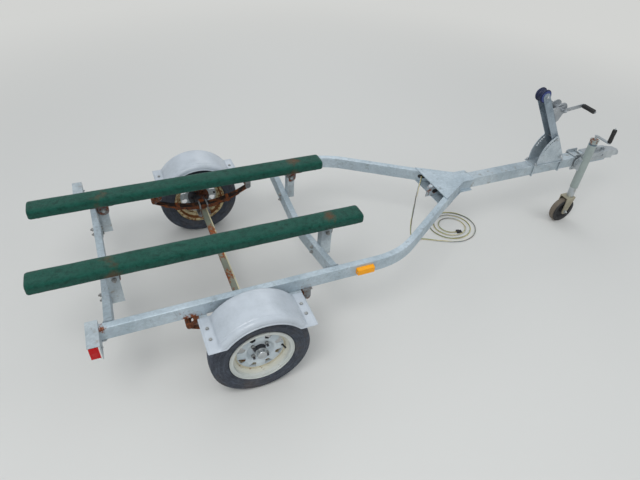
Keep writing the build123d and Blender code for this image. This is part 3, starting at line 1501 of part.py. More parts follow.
rail_face_origin = (
    rail_slot_x + nose_inward[0] * rail_w / 2,
    rail_slot_y + nose_inward[1] * rail_w / 2,
    rail_z,
)
rail_face = Plane(origin=rail_face_origin, x_dir=(nose_dir[0], nose_dir[1], 0), z_dir=nose_inward)
tongue_face = Plane(origin=(slot_x, -tongue_side / 2, rail_z), x_dir=(1, 0, 0), z_dir=(0, -1, 0))
rail_grommet = grommet(rail_face, rail_wall)
tongue_grommet = grommet(tongue_face, tongue_wall)
with BuildPart() as grommets:
    add(rail_grommet.part)
    mirror(rail_grommet.part, about=Plane.XZ)
    add(tongue_grommet.part)
write(grommets, "grommets")

# Harness: a limp bundle from the left rail's grommet to the floor, in loose turns, with a flat plug
harness_exit = rail_face.offset(seat_gap + grommet_stand).origin
hang_points = [
    # station, y, z
    (2073, 87, 474),
    (2054, 68, 448),
    (2044, 56, 405),
    (2042, 52, 318),
    (2038, 45, 215),
    (2043, 43, 118),
    (2061, 39, 47),
    (2098, 37, 13),
    (2152, 38, harness_d / 2),
    (2216, 0, harness_d / 2),
    (2290, -42, harness_d / 2),
    (2366, -74, harness_d / 2),
]
coil_station = 2452
coil_y = 96
coil_r = 186
coil_stretch = 1.08
coil_shrink = 36
coil_turns = 3
coil_points = 13
harness_route = [tuple(harness_exit), tuple(rail_face.offset(harness_lead).origin)]
for station, y, z in hang_points:
    harness_route.append((at(station), y, z))
for step in range(coil_turns * coil_points + 1):
    turned = step / coil_points
    coil_angle = radians(360 * turned - 90)
    radius = coil_r - coil_shrink * turned
    coil_x = at(coil_station) + coil_stretch * radius * cos(coil_angle)
    harness_route.append((coil_x, coil_y + radius * sin(coil_angle), harness_d / 2))


def corner_radii(route):
    """Each corner's arc is as large as its two runs allow."""
    radii = []
    for before, corner, after in zip(route, route[1:], route[2:]):
        run_in = Vector(corner) - Vector(before)
        run_out = Vector(after) - Vector(corner)
        turn = radians(run_in.get_angle(run_out))
        radii.append(0.45 * min(run_in.length, run_out.length) / tan(turn / 2))
    return radii


harness_radii = corner_radii(harness_route)
print("harness radii", round(min(harness_radii), 1), "to", round(max(harness_radii), 1))
with BuildPart() as harness:
    with BuildLine() as harness_line:
        FilletPolyline(*harness_route, radius=harness_radii)
    with BuildSketch(Plane(origin=harness_line.line @ 0, z_dir=harness_line.line % 0)):
        Circle(harness_d / 2)
    sweep()
harness_length = sum(edge.length for edge in harness_line.line.edges())
print("harness length", round(harness_length))
harness_section = pi * harness_d**2 / 4
print("volume over section times length", round(harness.part.volume / (harness_length * harness_section), 4))
write(harness, "harness")

# Harness plug: a flat moulded body with four round sleeves in a row
plug_plane = Plane(origin=harness_line.line @ 1, x_dir=(0, 0, 1), z_dir=harness_line.line % 1)
with BuildPart() as harness_plug:
    with BuildSketch(plug_plane):
        with Locations(((plug_height - harness_d) / 2, 0)):
            Rectangle(plug_height, plug_width)
    extrude(amount=plug_length)
    with BuildSketch(plug_plane.offset(plug_length)):
        for sleeve in range(plug_ways):
            sleeve_y = (sleeve - (plug_ways - 1) / 2) * plug_width / plug_ways
            with Locations(((plug_height - harness_d) / 2, sleeve_y)):
                Circle(sleeve_r)
    extrude(amount=sleeve_length)
write(harness_plug, "harness_plug")
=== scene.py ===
from math import cos, pi, radians, sin

import bmesh
import bpy
import numpy as np
from mathutils import Matrix, Vector


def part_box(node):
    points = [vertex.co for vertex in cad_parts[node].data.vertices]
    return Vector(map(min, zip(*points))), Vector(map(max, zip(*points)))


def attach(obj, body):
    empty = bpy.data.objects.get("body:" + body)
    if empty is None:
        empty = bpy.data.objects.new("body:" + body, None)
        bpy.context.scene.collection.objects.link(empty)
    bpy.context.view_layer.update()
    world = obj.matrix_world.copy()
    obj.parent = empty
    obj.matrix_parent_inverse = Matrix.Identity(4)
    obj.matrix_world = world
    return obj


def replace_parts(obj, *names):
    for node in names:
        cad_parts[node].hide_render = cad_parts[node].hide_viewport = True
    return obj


# The frame holds the trailer's solids. Lengths are metres in the trailer's own frame: +X forward, +Y left and
# +Z up from the floor.
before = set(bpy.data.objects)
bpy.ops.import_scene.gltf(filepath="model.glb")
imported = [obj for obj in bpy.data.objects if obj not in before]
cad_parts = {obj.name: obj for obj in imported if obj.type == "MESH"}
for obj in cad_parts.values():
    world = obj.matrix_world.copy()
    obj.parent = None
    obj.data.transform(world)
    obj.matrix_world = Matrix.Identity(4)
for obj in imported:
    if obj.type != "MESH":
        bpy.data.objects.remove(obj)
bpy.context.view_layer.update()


# Camera: the photograph's direction, tilt and lens, standing back until the whole trailer is in view. Its
# three directions are the picture's right, the picture's top, and the way back out of it.
camera_place = (-1.524, -2.257, 2.322)
camera_right = (0.9206, -0.3862, 0.0574)
camera_up = (0.2070, 0.6074, 0.7669)
camera_back = (-0.3310, -0.6942, 0.6392)
focal_pixels = 506.6
frame_pixels = 640
sensor_width = 36
camera_data = bpy.data.cameras.new("camera")
camera_data.sensor_width = sensor_width
camera_data.lens = sensor_width * focal_pixels / frame_pixels
camera = bpy.data.objects.new("camera", camera_data)
bpy.context.scene.collection.objects.link(camera)
camera_turn = Matrix((camera_right, camera_up, camera_back)).transposed()
camera.matrix_world = Matrix.Translation(camera_place) @ camera_turn.to_4x4()
bpy.context.scene.camera = camera


# Studio: a pale matte floor, an overcast sky and three soft lamps, so that colours render about as they are
# written. Far from the trailer the floor takes the backdrop's colour, and no horizon shows.
floor_half = 30
fade_start = 2.5
fade_end = 6.5


def linear(code):
    """A linear colour from an sRGB hex value such as #a0b1c2."""
    parts = np.array([int(code[i : i + 2], 16) for i in (1, 3, 5)]) / 255
    low = parts / 12.92
    high = ((parts + 0.055) / 1.055) ** 2.4
    return (*np.where(parts <= 0.04045, low, high).tolist(), 1.0)


def add(tree, kind, inputs=(), **settings):
    """Adds a shader node, sets its properties, and fills its inputs, by name or in its live sockets' order.

    An input is a value, a socket to link from, or a node, which stands for its first live output.
    """
    made = tree.nodes.new("ShaderNode" + kind)
    for name, value in settings.items():
        setattr(made, name, value)
    if not isinstance(inputs, dict):
        live = [place for place, socket in enumerate(made.inputs) if socket.enabled]
        inputs = dict(zip(live, inputs))
    for name, value in inputs.items():
        if isinstance(value, bpy.types.Node):
            value = next(socket for socket in value.outputs if socket.enabled)
        if isinstance(value, bpy.types.NodeSocket):
            tree.links.new(value, made.inputs[name])
        else:
            made.inputs[name].default_value = value
    return made


def blank(name):
    """A new material and its empty node tree."""
    made = bpy.data.materials.new(name)
    made.use_nodes = True
    made.node_tree.nodes.clear()
    return made, made.node_tree


floor_mesh = bpy.data.meshes.new("floor")
floor_corners = [(x * floor_half, y * floor_half, 0) for x, y in ((-1, -1), (1, -1), (1, 1), (-1, 1))]
floor_mesh.from_pydata(floor_corners, [], [(0, 1, 2, 3)])
floor = bpy.data.objects.new("floor", floor_mesh)
bpy.context.scene.collection.objects.link(floor)
backdrop_colour = linear("#d2d3d1")
floor_finish, floor_tree = blank("matte_studio_floor")
matte = add(floor_tree, "BsdfPrincipled", {"Base Color": linear("#cfcfcc"), "Roughness": 0.9})
floor_spot = add(floor_tree, "TexCoord").outputs["Object"]
floor_reach = add(floor_tree, "VectorMath", (floor_spot,), operation="LENGTH")
floor_fade = add(
    floor_tree,
    "MapRange",
    {"Value": floor_reach, "From Min": fade_start, "From Max": fade_end},
    interpolation_type="SMOOTHSTEP",
)
# The rays that light the trailer still meet the plain floor: only the others see it fade.
rays = add(floor_tree, "LightPath").outputs
seeing = add(floor_tree, "Math", (rays["Is Camera Ray"], rays["Is Glossy Ray"]), operation="MAXIMUM")
seeing = add(floor_tree, "Math", (seeing, rays["Is Transmission Ray"]), operation="MAXIMUM")
faded = add(floor_tree, "Math", (floor_fade, seeing), operation="MULTIPLY")
haze = add(floor_tree, "Emission", {"Color": backdrop_colour})
floor_look = add(floor_tree, "MixShader", (faded, matte, haze))
add(floor_tree, "OutputMaterial", {"Surface": floor_look})
floor_mesh.materials.append(floor_finish)
world = bpy.data.worlds.new("studio")
bpy.context.scene.world = world
world.use_nodes = True
world_tree = world.node_tree
world_tree.nodes.clear()
# The sky is brighter overhead than at the horizon, which shapes the metal softly.
sky_way = add(world_tree, "SeparateXYZ", (add(world_tree, "TexCoord").outputs["Generated"],)).outputs
sky_level = add(world_tree, "MapRange", {"Value": sky_way["Z"], "To Min": 0.40, "To Max": 0.97})
sky = add(world_tree, "Background", {"Color": linear("#eef2f6"), "Strength": sky_level})
backdrop = add(world_tree, "Background", {"Color": backdrop_colour, "Strength": 1.0})
seen = add(world_tree, "LightPath").outputs["Is Camera Ray"]
add(world_tree, "OutputWorld", {"Surface": add(world_tree, "MixShader", (seen, sky, backdrop))})
lamp_table = [
    # name, place, aim, size, watts
    ("key_lamp", (-2.6, -2.4, 4.6), (0, 0, 0.4), 2.0, 98),
    ("fill_lamp", (3.4, -3.2, 3.4), (0.4, 0, 0.4), 3.0, 30),
    ("rim_lamp", (1.0, 4.2, 3.6), (0, 0, 0.5), 3.0, 30),
]
for lamp_name, place, aim, size, watts in lamp_table:
    lamp_data = bpy.data.lights.new(lamp_name, "AREA")
    lamp_data.size = size
    lamp_data.energy = watts
    lamp = bpy.data.objects.new(lamp_name, lamp_data)
    lamp.rotation_mode = "QUATERNION"
    lamp.rotation_quaternion = (Vector(place) - Vector(aim)).to_track_quat("Z", "Y")
    lamp.location = place
    bpy.context.scene.collection.objects.link(lamp)
bpy.context.scene.view_settings.view_transform = "Standard"


# Harness: five thin wires in PVC jackets, laid loose in one bundle. It leaves the left rail's grommet, hangs
# to the floor and lies there in three loose turns. The bundle is the cord, and the wires wander round it.
rail_rear_x = -1.7675


def along(station):
    """X of a station, a distance forward of the rails' open rear ends."""
    return rail_rear_x + station


floor_lie = 0.004
harness_route = [(0.34576, 0.13784, 0.48523), (0.32898, 0.11297, 0.48523)]
hang_points = [
    # station, y, z
    (2.073, 0.087, 0.474),
    (2.054, 0.068, 0.448),
    (2.044, 0.056, 0.405),
    (2.042, 0.052, 0.318),
    (2.038, 0.045, 0.215),
    (2.043, 0.043, 0.118),
    (2.061, 0.039, 0.047),
    (2.098, 0.037, 0.013),
    (2.152, 0.038, floor_lie),
    (2.216, 0.000, floor_lie),
    (2.290, -0.042, floor_lie),
    (2.366, -0.074, floor_lie),
]
harness_route += [(along(station), y, z) for station, y, z in hang_points]
coil_turns = 3
coil_points = 13
coil_r = 0.186
coil_shrink = 0.036
coil_stretch = 1.08
coil_step = np.arange(coil_turns * coil_points + 1) / coil_points
coil_radius = coil_r - coil_shrink * coil_step
coil_angle = 2 * pi * coil_step - pi / 2
coil_x = along(2.452) + coil_stretch * coil_radius * np.cos(coil_angle)
coil_y = 0.096 + coil_radius * np.sin(coil_angle)
harness_route += [(x, y, floor_lie) for x, y in zip(coil_x.tolist(), coil_y.tolist())]


def smooth_line(route):
    """Points along the NURBS curve that has the route's points as its control points."""
    data = bpy.data.curves.new("route", "CURVE")
    data.dimensions = "3D"
    data.resolution_u = 8
    spline = data.splines.new("NURBS")
    spline.points.add(len(route) - 1)
    for point, place in zip(spline.points, route):
        point.co = (*place, 1)
    spline.order_u = 3
    spline.use_endpoint_u = True
    curve = bpy.data.objects.new("route", data)
    bpy.context.scene.collection.objects.link(curve)
    bpy.context.view_layer.update()
    line = bpy.data.meshes.new_from_object(curve.evaluated_get(bpy.context.evaluated_depsgraph_get()))
    points = np.zeros(len(line.vertices) * 3)
    line.vertices.foreach_get("co", points)
    bpy.data.meshes.remove(line)
    bpy.data.objects.remove(curve)
    bpy.data.curves.remove(data)
    return points.reshape(-1, 3)


def travelled(points):
    """How far each point lies from the first, measured along the points."""
    steps = np.linalg.norm(np.diff(points, axis=0), axis=1)
    return np.concatenate([[0], np.cumsum(steps)])


def across(path, reference):
    """Two unit vectors at each point, square to the path; the first is square to the reference as well."""
    ahead = np.gradient(path, axis=0)
    ahead /= np.linalg.norm(ahead, axis=1, keepdims=True)
    side = np.cross(ahead, reference)
    side /= np.linalg.norm(side, axis=1, keepdims=True)
    return side, np.cross(side, ahead)


def skin(points, wrap_rows=False, wrap_cols=False):
    """Vertices and quads of a grid of points: one quad for each neighbouring pair of rows and columns."""
    rows, cols = points.shape[:2]
    index = np.arange(rows * cols).reshape(rows, cols)
    if wrap_rows:
        index = np.vstack([index, index[:1]])
    if wrap_cols:
        index = np.hstack([index, index[:, :1]])
    quads = np.stack([index[:-1, :-1], index[:-1, 1:], index[1:, 1:], index[1:, :-1]], -1)
    return points.reshape(-1, 3), quads.reshape(-1, 4)


def pipe(path, radius, sides=10, reference=(0.3, -0.3, 0.9)):
    """A round tube along a path: at each point a circle square to it, closed to a point at both ends."""
    path = np.asarray(path, float)
    radius = np.broadcast_to(np.asarray(radius, float), (len(path),))
    side, over = across(path, reference)
    angle = np.linspace(0, 2 * pi, sides, endpoint=False)
    ring = side[:, None] * np.cos(angle)[:, None] + over[:, None] * np.sin(angle)[:, None]
    tube = path[:, None] + radius[:, None, None] * ring
    first = np.repeat(path[:1, None], sides, 1)
    last = np.repeat(path[-1:, None], sides, 1)
    return skin(np.concatenate([first, tube, last]), wrap_cols=True)


def solid(name, skins, finishes, body, smooth_degrees=40):
    """One mesh object from several skins, with its doubles merged and its faces turned outwards.

    With a list of finishes, each skin has its own.
    """
    if not isinstance(finishes, list):
        finishes = [finishes]
    starts = np.cumsum([0] + [len(points) for points, _ in skins])
    verts = np.vstack([points for points, _ in skins])
    quads = np.vstack([faces + start for (_, faces), start in zip(skins, starts)])
    finish_of = np.repeat(np.arange(len(skins)) % len(finishes), [len(faces) for _, faces in skins])
    mesh = bpy.data.meshes.new(name)
    mesh.from_pydata(verts.tolist(), [], quads.tolist())
    for finish in finishes:
        mesh.materials.append(finish)
    mesh.polygons.foreach_set("material_index", finish_of.astype(np.int32))
    work = bmesh.new()
    work.from_mesh(mesh)
    bmesh.ops.remove_doubles(work, verts=work.verts, dist=1e-6)
    bmesh.ops.dissolve_degenerate(work, edges=work.edges, dist=1e-7)
    bmesh.ops.recalc_face_normals(work, faces=work.faces)
    work.to_mesh(mesh)
    work.free()
    mesh.polygons.foreach_set("use_smooth", np.ones(len(mesh.polygons), bool))
    mesh.set_sharp_from_angle(angle=radians(smooth_degrees))
    made = bpy.data.objects.new(name, mesh)
    bpy.context.scene.collection.objects.link(made)
    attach(made, body)
    return made


def blotches(tree, coords, scale, detail, roughness, low, high, most=1.0, warp=0.0):
    """A noise, and the mask made of it: nought below the low level, the most above the high one.

    The scale counts the blotches in a metre, so that 50 makes them about 20 mm wide.
    """
    noise = add(
        tree,
        "TexNoise",
        {"Vector": coords, "Scale": scale, "Detail": detail, "Roughness": roughness, "Distortion": warp},
    )
    return noise, add(tree, "MapRange", {"Value": noise, "From Min": low, "From Max": high, "To Max": most})


def wire_jacket(name, colour):
    """PVC wire jacket, extruded: dull and even, with blotches of ground dust about 17 mm across."""
    made, tree = blank(name)
    coords = add(tree, "TexCoord").outputs["Object"]
    dust = blotches(tree, coords, 60, 3, 0.5, 0.42, 0.72, 0.45)[1]
    mixed = add(tree, "Mix", (dust, linear(colour), linear("#8f877a")), data_type="RGBA")
    shader = add(tree, "BsdfPrincipled", {"Base Color": mixed, "Roughness": 0.55})
    add(tree, "OutputMaterial", {"Surface": shader})
    return made


wire_r = 0.0017
wire_turns = 5
bundle_r = 0.0029
wander = 0.0012
harness_line = smooth_line(harness_route)
harness_run = travelled(harness_line)
side_way, over_way = across(harness_line, (0.3, -0.3, 0.9))
wire_table = [
    # name, colour, place round the bundle in degrees
    ("white", "#dedac4", 0),
    ("yellow", "#cbb968", 72),
    ("green", "#7b9a80", 144),
    ("brown", "#85705c", 216),
    ("blue", "#8799a8", 288),
]
wires = []
jackets = []
for wire_name, wire_colour, place in wire_table:
    turn = radians(place) + 2 * pi * wire_turns * harness_run / harness_run[-1]
    # The wires lie loose: after the first 100 mm each wanders in and out, once in every 200 mm.
    spread = bundle_r + wander * np.sin(harness_run * 31 + place) * np.clip(harness_run / 0.1, 0, 1)
    outward = side_way * np.cos(turn)[:, None] + over_way * np.sin(turn)[:, None]
    wire_path = harness_line + spread[:, None] * outward
    wire_path[:, 2] = np.maximum(wire_path[:, 2], wire_r + 0.0003)
    wires.append(pipe(wire_path, wire_r, 8))
    jackets.append(wire_jacket(wire_name + "_pvc_jacket", wire_colour))
harness = solid("harness_wires", wires, jackets, "chassis")
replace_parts(harness, "harness")


# Frame: steel tube and plate, cold bent, welded and then hot-dip galvanised. The zinc is pale blue grey with
# faint crystals, darker clouds where it weathered and brown marks where water ran off rusty fittings.
rail_low, rail_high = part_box("left_rail")
rail_top = rail_high[2]
rail_bottom = rail_low[2]
rail_z = (rail_top + rail_bottom) / 2
rail_outer_y = rail_high[1]
rail_w = 0.038
rail_inner_y = rail_outer_y - rail_w
rail_y = rail_outer_y - rail_w / 2
member_stations = (0.043, 1.166)
front_eye_x = -0.7675
rear_eye_x = -1.3795
new_rust = ("#8f4d22", "#5b2f1a")
old_rust = ("#7d4626", "#3e2417")


def spot(tree, coords, place, start, full, most=1.0):
    """A round spot: nought beyond the start radius round a place, and the most within the full one."""
    away = add(tree, "VectorMath", (coords, place), operation="DISTANCE")
    return add(tree, "MapRange", {"Value": away, "From Min": start, "From Max": full, "To Max": most})


def weathered(
    name,
    colours,
    rust,
    metal,
    rough,
    cloud_mm,
    stain_level,
    rust_level,
    facet_mm=0,
    relief=0.35,
    patches=(),
    zones=(),
):
    """Coated steel that stood outdoors: the coat's colour, its clouds' and its stains', and two for rust.

    Clouds mix the coat with its second colour, going from one to the other over cloud_mm, and crystals
    facet_mm wide have tones of their own. Stains and rust grow where a noise passes a level, from nowhere
    at 0 to everywhere at 1, and rust takes the shine. A patch is a place with a radius and a strength where
    more rust grows. A zone is a further coat, a painted highlight or painted shade: its colour, the rust it
    gains, and a function that makes its mask from object coordinates.
    """
    made, tree = blank(name)
    base, cloud, stain = [linear(code) for code in colours]
    coords = add(tree, "TexCoord").outputs["Object"]
    clouds, clouded = blotches(tree, coords, 500 / cloud_mm, 6, 0.62, 0.36, 0.66)
    colour = add(tree, "Mix", (clouded, base, cloud), data_type="RGBA")
    # Rust grows in ragged blotches about 22 mm across.
    grains = add(tree, "TexNoise", {"Vector": coords, "Scale": 46, "Detail": 10, "Roughness": 0.72})
    growth = grains
    for zone_colour, zone_rust, zone_mask in zones:
        mask = zone_mask(tree, coords)
        colour = add(tree, "Mix", (mask, colour, linear(zone_colour)), data_type="RGBA")
        growth = add(tree, "Math", (mask, zone_rust, growth), operation="MULTIPLY_ADD")
    if facet_mm:
        crystals = add(tree, "TexVoronoi", {"Vector": coords, "Scale": 1000 / facet_mm, "Randomness": 0.9})
        tone = add(tree, "SeparateColor", (crystals.outputs["Color"],))
        tone = add(tree, "MapRange", {"Value": tone, "To Min": 0.91, "To Max": 1.06})
        colour = add(tree, "Mix", (1.0, colour, tone), data_type="RGBA", blend_type="MULTIPLY")
    # Stains are about 48 mm across.
    stain_low = 0.70 - 0.26 * stain_level
    stained = blotches(tree, coords, 21, 9, 0.7, stain_low, stain_low + 0.12, 0.75, warp=0.4)[1]
    colour = add(tree, "Mix", (stained, colour, stain), data_type="RGBA")
    for place, radius, strength in patches:
        more = spot(tree, coords, place, radius, radius * 0.2, strength)
        growth = add(tree, "Math", (growth, more), operation="ADD")
    rust_low = 0.74 - 0.48 * rust_level
    rusted = add(tree, "MapRange", {"Value": growth, "From Min": rust_low, "From Max": rust_low + 0.09})
    # Rust has two browns, in flakes of 8 mm.
    shades, shaded = blotches(tree, coords, 130, 8, 0.7, 0.34, 0.66)
    rust_colour = add(tree, "Mix", (shaded, linear(rust[0]), linear(rust[1])), data_type="RGBA")
    colour = add(tree, "Mix", (rusted, colour, rust_colour), data_type="RGBA")
    shine = add(tree, "MapRange", {"Value": rusted, "To Min": metal, "To Max": 0.0})
    coat_rough = add(
        tree,
        "MapRange",
        {"Value": clouds, "From Min": 0.3, "From Max": 0.7, "To Min": rough - 0.09, "To Max": rough + 0.1},
    )
    roughness = add(tree, "Mix", (rusted, coat_rough, 0.92))
    height = add(tree, "Math", (rusted, shades, 0.12), operation="MULTIPLY_ADD")
    height = add(tree, "Math", (height, grains), operation="MULTIPLY")
    bump = add(tree, "Bump", {"Strength": relief, "Distance": 0.004, "Height": height})
    shader = add(
        tree,
        "BsdfPrincipled",
        {"Base Color": colour, "Metallic": shine, "Roughness": roughness, "Normal": bump},
    )
    add(tree, "OutputMaterial", {"Surface": shader})
    return made


def dress(names, finish):
    """Gives CAD nodes a finish."""
    for node_name in names:
        for material_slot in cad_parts[node_name].material_slots:
            material_slot.material = finish


def polyline(corners, spacing=0.0008):
    """Points at an even spacing along straight runs between corners, and how far along each lies."""
    corners = np.asarray(corners, float)
    run = travelled(corners)
    at = np.linspace(0, run[-1], max(int(run[-1] / spacing), 2))
    return np.stack([np.interp(at, run, corners[:, axis]) for axis in range(3)], -1), at


def bead(corners, width=0.007):
    """A weld bead: a tube along the joint whose radius swells once for each 2.6 mm that the arc moved on."""
    line, at = polyline(corners)
    radius = width / 2 * (1 + 0.14 * np.cos(2 * pi * at / 0.0026) + 0.1 * np.sin(at * 190))
    return pipe(line, radius, 8, (0.31, 0.42, 0.85))


def mirrored(skins):
    """The skins and their mirror images in the trailer's middle plane."""
    return skins + [(points * (1, -1, 1), quads) for points, quads in skins]


def scrape_marks(tree, coords):
    """Brown scrapes on the left rail's outer face, near its rear end: leaning, broken bands 7 mm apart."""
    inside = spot(tree, coords, (along(0.27), rail_outer_y, rail_z), 0.07, 0.015)
    uneven, broken = blotches(tree, coords, 75, 7, 0.7, 0.4, 0.58)
    lean = add(tree, "VectorMath", (coords, (130, 0, -70)), operation="DOT_PRODUCT")
    lean = add(tree, "Math", (uneven, 2.6, lean), operation="MULTIPLY_ADD")
    bands = add(tree, "TexNoise", {"W": lean, "Scale": 1, "Detail": 3}, noise_dimensions="1D")
    scraped = add(tree, "MapRange", {"Value": bands, "From Min": 0.5, "From Max": 0.66, "To Max": 0.8})
    scraped = add(tree, "Math", (scraped, broken), operation="MULTIPLY")
    return add(tree, "Math", (scraped, inside), operation="MULTIPLY")


rail_rust = [
    # x, y, z, radius, strength
    (rear_eye_x, rail_y, rail_bottom, 0.11, 0.3),
    (front_eye_x, rail_y, rail_bottom, 0.08, 0.22),
    (rail_rear_x, rail_outer_y, rail_top, 0.07, 0.27),
]
galvanised = weathered(
    "hot_dip_zinc",
    ("#bdcad2", "#a2b1ba", "#838e92"),
    new_rust,
    metal=0.38,
    rough=0.5,
    cloud_mm=130,
    stain_level=0.5,
    rust_level=0.03,
    facet_mm=11,
    patches=[((x, side * y, z), radius, more) for x, y, z, radius, more in rail_rust for side in (-1, 1)],
    zones=[("#8b6c40", 0.05, scrape_marks)],
)
dress(["left_rail", "right_rail", "rear_crossmember", "mid_crossmember", "tongue_socket"], galvanised)
# The tongue's own coat of zinc has wider crystals and clouds, and rust where its fittings rubbed.
tongue_zinc = weathered(
    "streaked_zinc",
    ("#c1ccd2", "#9eacb4", "#827a6b"),
    new_rust,
    metal=0.38,
    rough=0.47,
    cloud_mm=150,
    stain_level=0.5,
    rust_level=0.04,
    facet_mm=14,
    patches=[
        ((along(3.64), -0.038, rail_top), 0.12, 0.3),
        ((along(3.05), 0.02, rail_top), 0.05, 0.34),
        ((along(2.08), -0.03, rail_z), 0.12, 0.24),
    ],
)
dress(["tongue"], tongue_zinc)
member_half = 0.0195
member_end_half = 0.0395
bead_lift = 0.001
plate_faces = (rail_top + bead_lift, rail_bottom - bead_lift)
bead_skins = []
for station in member_stations:
    round_end = [
        (along(station) + x * member_half, rail_inner_y - bead_lift, rail_z + z * member_end_half)
        for x, z in ((1, 1), (1, -1), (-1, -1), (-1, 1), (1, 1))
    ]
    bead_skins.append(bead(round_end))
gusset_edge = [(along(2.094), 0.1925), (along(2.192), 0.132)]
for plate_z in plate_faces:
    bead_skins.append(bead([(x, y, plate_z) for x, y in gusset_edge]))
for station, strap_half in ((0.931, 0.033), (0.457, 0.019)):
    strap_edge = [(along(station) + x * strap_half, rail_outer_y + 0.0005, rail_bottom) for x in (-1, 1)]
    bead_skins.append(bead(strap_edge, 0.006))
bead_skins = mirrored(bead_skins)
for plate_z in plate_faces:
    bead_skins.append(bead([(along(2.401), y, plate_z) for y in (-0.036, 0.036)], 0.008))
# Weld metal under the zinc is dull and rough, in finer clouds than the tube.
weld_zinc = weathered(
    "galvanised_weld",
    ("#9faab0", "#87939a", "#6f706c"),
    new_rust,
    metal=0.5,
    rough=0.55,
    cloud_mm=25,
    stain_level=0.5,
    rust_level=0.12,
)
solid("frame_weld_beads", bead_skins, weld_zinc, "chassis", 60)
# Sheared strap and angle, whose thin zinc lets more rust through.
strap_zinc = weathered(
    "rust_edged_zinc",
    ("#bcc6cb", "#9da8ae", "#8a7a66"),
    new_rust,
    metal=0.45,
    rough=0.52,
    cloud_mm=60,
    stain_level=0.5,
    rust_level=0.16,
    facet_mm=9,
)
dress(["fender_straps", "tie_down_tabs", "lamp_brackets", "bunk_posts"], strap_zinc)


# Spring hangers, shackles and clamps: welded plate, plain bolts and U bolts that lost their zinc first. They
# are dark brown with pitted faces, and keep a little grey where the plate is still coated.
hanger_rust = weathered(
    "rusted_hanger_plate",
    ("#94999b", "#797e80", "#6b4a34"),
    old_rust,
    metal=0.35,
    rough=0.62,
    cloud_mm=40,
    stain_level=0.7,
    rust_level=0.3,
    relief=0.6,
    patches=[
        ((rear_eye_x, -rail_y, 0.42), 0.12, 0.3),
        ((rear_eye_x, rail_y, 0.42), 0.12, 0.25),
        ((front_eye_x, -rail_y, 0.40), 0.09, 0.08),
    ],
)
dress(["spring_hangers", "axle_clamps", "spring_shackles"], hanger_rust)


def spun(profile, place, axis, sides=24):
    """A surface of revolution: each (radius, height) of the profile swept round the axis through a place."""
    axis = np.asarray(axis, float) / np.linalg.norm(axis)
    first = np.cross(axis, (0, 0, 1) if abs(axis[2]) < 0.9 else (1, 0, 0))
    first /= np.linalg.norm(first)
    second = np.cross(axis, first)
    angle = np.linspace(0, 2 * pi, sides, endpoint=False)
    ring = first * np.cos(angle)[:, None] + second * np.sin(angle)[:, None]
    radius, height = np.asarray(profile, float).T
    points = np.asarray(place, float) + axis * height[:, None, None] + ring[None] * radius[:, None, None]
    return skin(points, wrap_cols=True)


def washer(thread, place, axis):
    """A flat washer, 2.2 threads wide and 0.14 thick, let half a millimetre into its seat."""
    outer = 1.1 * thread
    top = 0.14 * thread
    return spun([(0, -0.0005), (outer, -0.0005), (outer, top), (0, top)], place, axis)


def bolt_head(place, axis, thread):
    """A washer and a hexagon head with chamfered corners, in proportion to the thread's diameter."""
    head_r = 0.96 * thread
    top = 0.14 * thread + 0.65 * thread
    head = [(0, 0), (head_r, 0), (head_r, top - 0.12 * thread), (0.82 * head_r, top), (0, top)]
    return [washer(thread, place, axis), spun(head, place, axis, 6)]


def nut(place, axis, thread):
    """A washer, a hexagon nut chamfered on both sides, and the bolt's threaded end as five grooves."""
    nut_r = 0.96 * thread
    low = 0.14 * thread
    top = low + 0.85 * thread
    body = [(0, 0), (0.84 * nut_r, low), (nut_r, low + 0.1 * thread), (nut_r, top - 0.1 * thread)]
    body += [(0.84 * nut_r, top), (0, top)]
    pitch = 0.13 * thread
    bolt_end = [(0, top - 0.001)]
    for turn in range(5):
        bolt_end += [(0.46 * thread, top + turn * pitch), (0.5 * thread, top + (turn + 0.5) * pitch)]
    bolt_end += [(0.4 * thread, top + 5 * pitch), (0, top + 5 * pitch)]
    return [washer(thread, place, axis), spun(body, place, axis, 6), spun(bolt_end, place, axis, 16)]


front_way, back_way = (1, 0, 0), (-1, 0, 0)
left_way, right_way = (0, 1, 0), (0, -1, 0)
up_way, down_way = (0, 0, 1), (0, 0, -1)
axle_x = -1.0735
axle_z = 0.26
clamp_nut_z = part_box("axle_clamps")[0][2] + 0.014
front_eye_z = 0.397234
hanger_bolt_x = -1.34419
hanger_bolt_z = 0.423234
gear_skins = []
for bolt_x in (-0.0245, 0.0245):
    for bolt_y in (-0.028, 0.028):
        gear_skins += nut((axle_x + bolt_x, rail_y + bolt_y, clamp_nut_z), down_way, 0.010)
bolt_tip = [(0, 0), (0.0058, 0), (0.0058, 0.006), (0.0046, 0.0075), (0, 0.0075)]
bolt_washer = [(0, -0.002), (0.014, -0.002), (0.014, 0), (0, 0)]
for bolt_x, bolt_z, reach in ((front_eye_x, front_eye_z, 0.0373), (hanger_bolt_x, hanger_bolt_z, 0.0438)):
    gear_skins.append(spun(bolt_tip, (bolt_x, rail_y - reach, bolt_z), right_way, 16))
    gear_skins.append(spun(bolt_washer, (bolt_x, rail_y + reach - 0.006, bolt_z), left_way))
for hanger_x, hanger_half, weld_half in ((front_eye_x, 0.0292, 0.018), (hanger_bolt_x, 0.0357, 0.014)):
    for weld_y in (rail_y - hanger_half, rail_y + hanger_half):
        hanger_weld = [(hanger_x + x, weld_y, rail_bottom - 0.0005) for x in (-weld_half, weld_half)]
        gear_skins.append(bead(hanger_weld))
solid("spring_bolts_and_welds", mirrored(gear_skins), hanger_rust, "chassis", 40)


# Leaf springs: four leaves of arched spring steel a side, rust all over, with painted shade as a dark line
# between one leaf and the next, and flakes of brighter orange where scale has just come off.
leaf_t = 0.0065
spring_r = 0.62
spring_centre = (axle_x, 0, 0.92175)


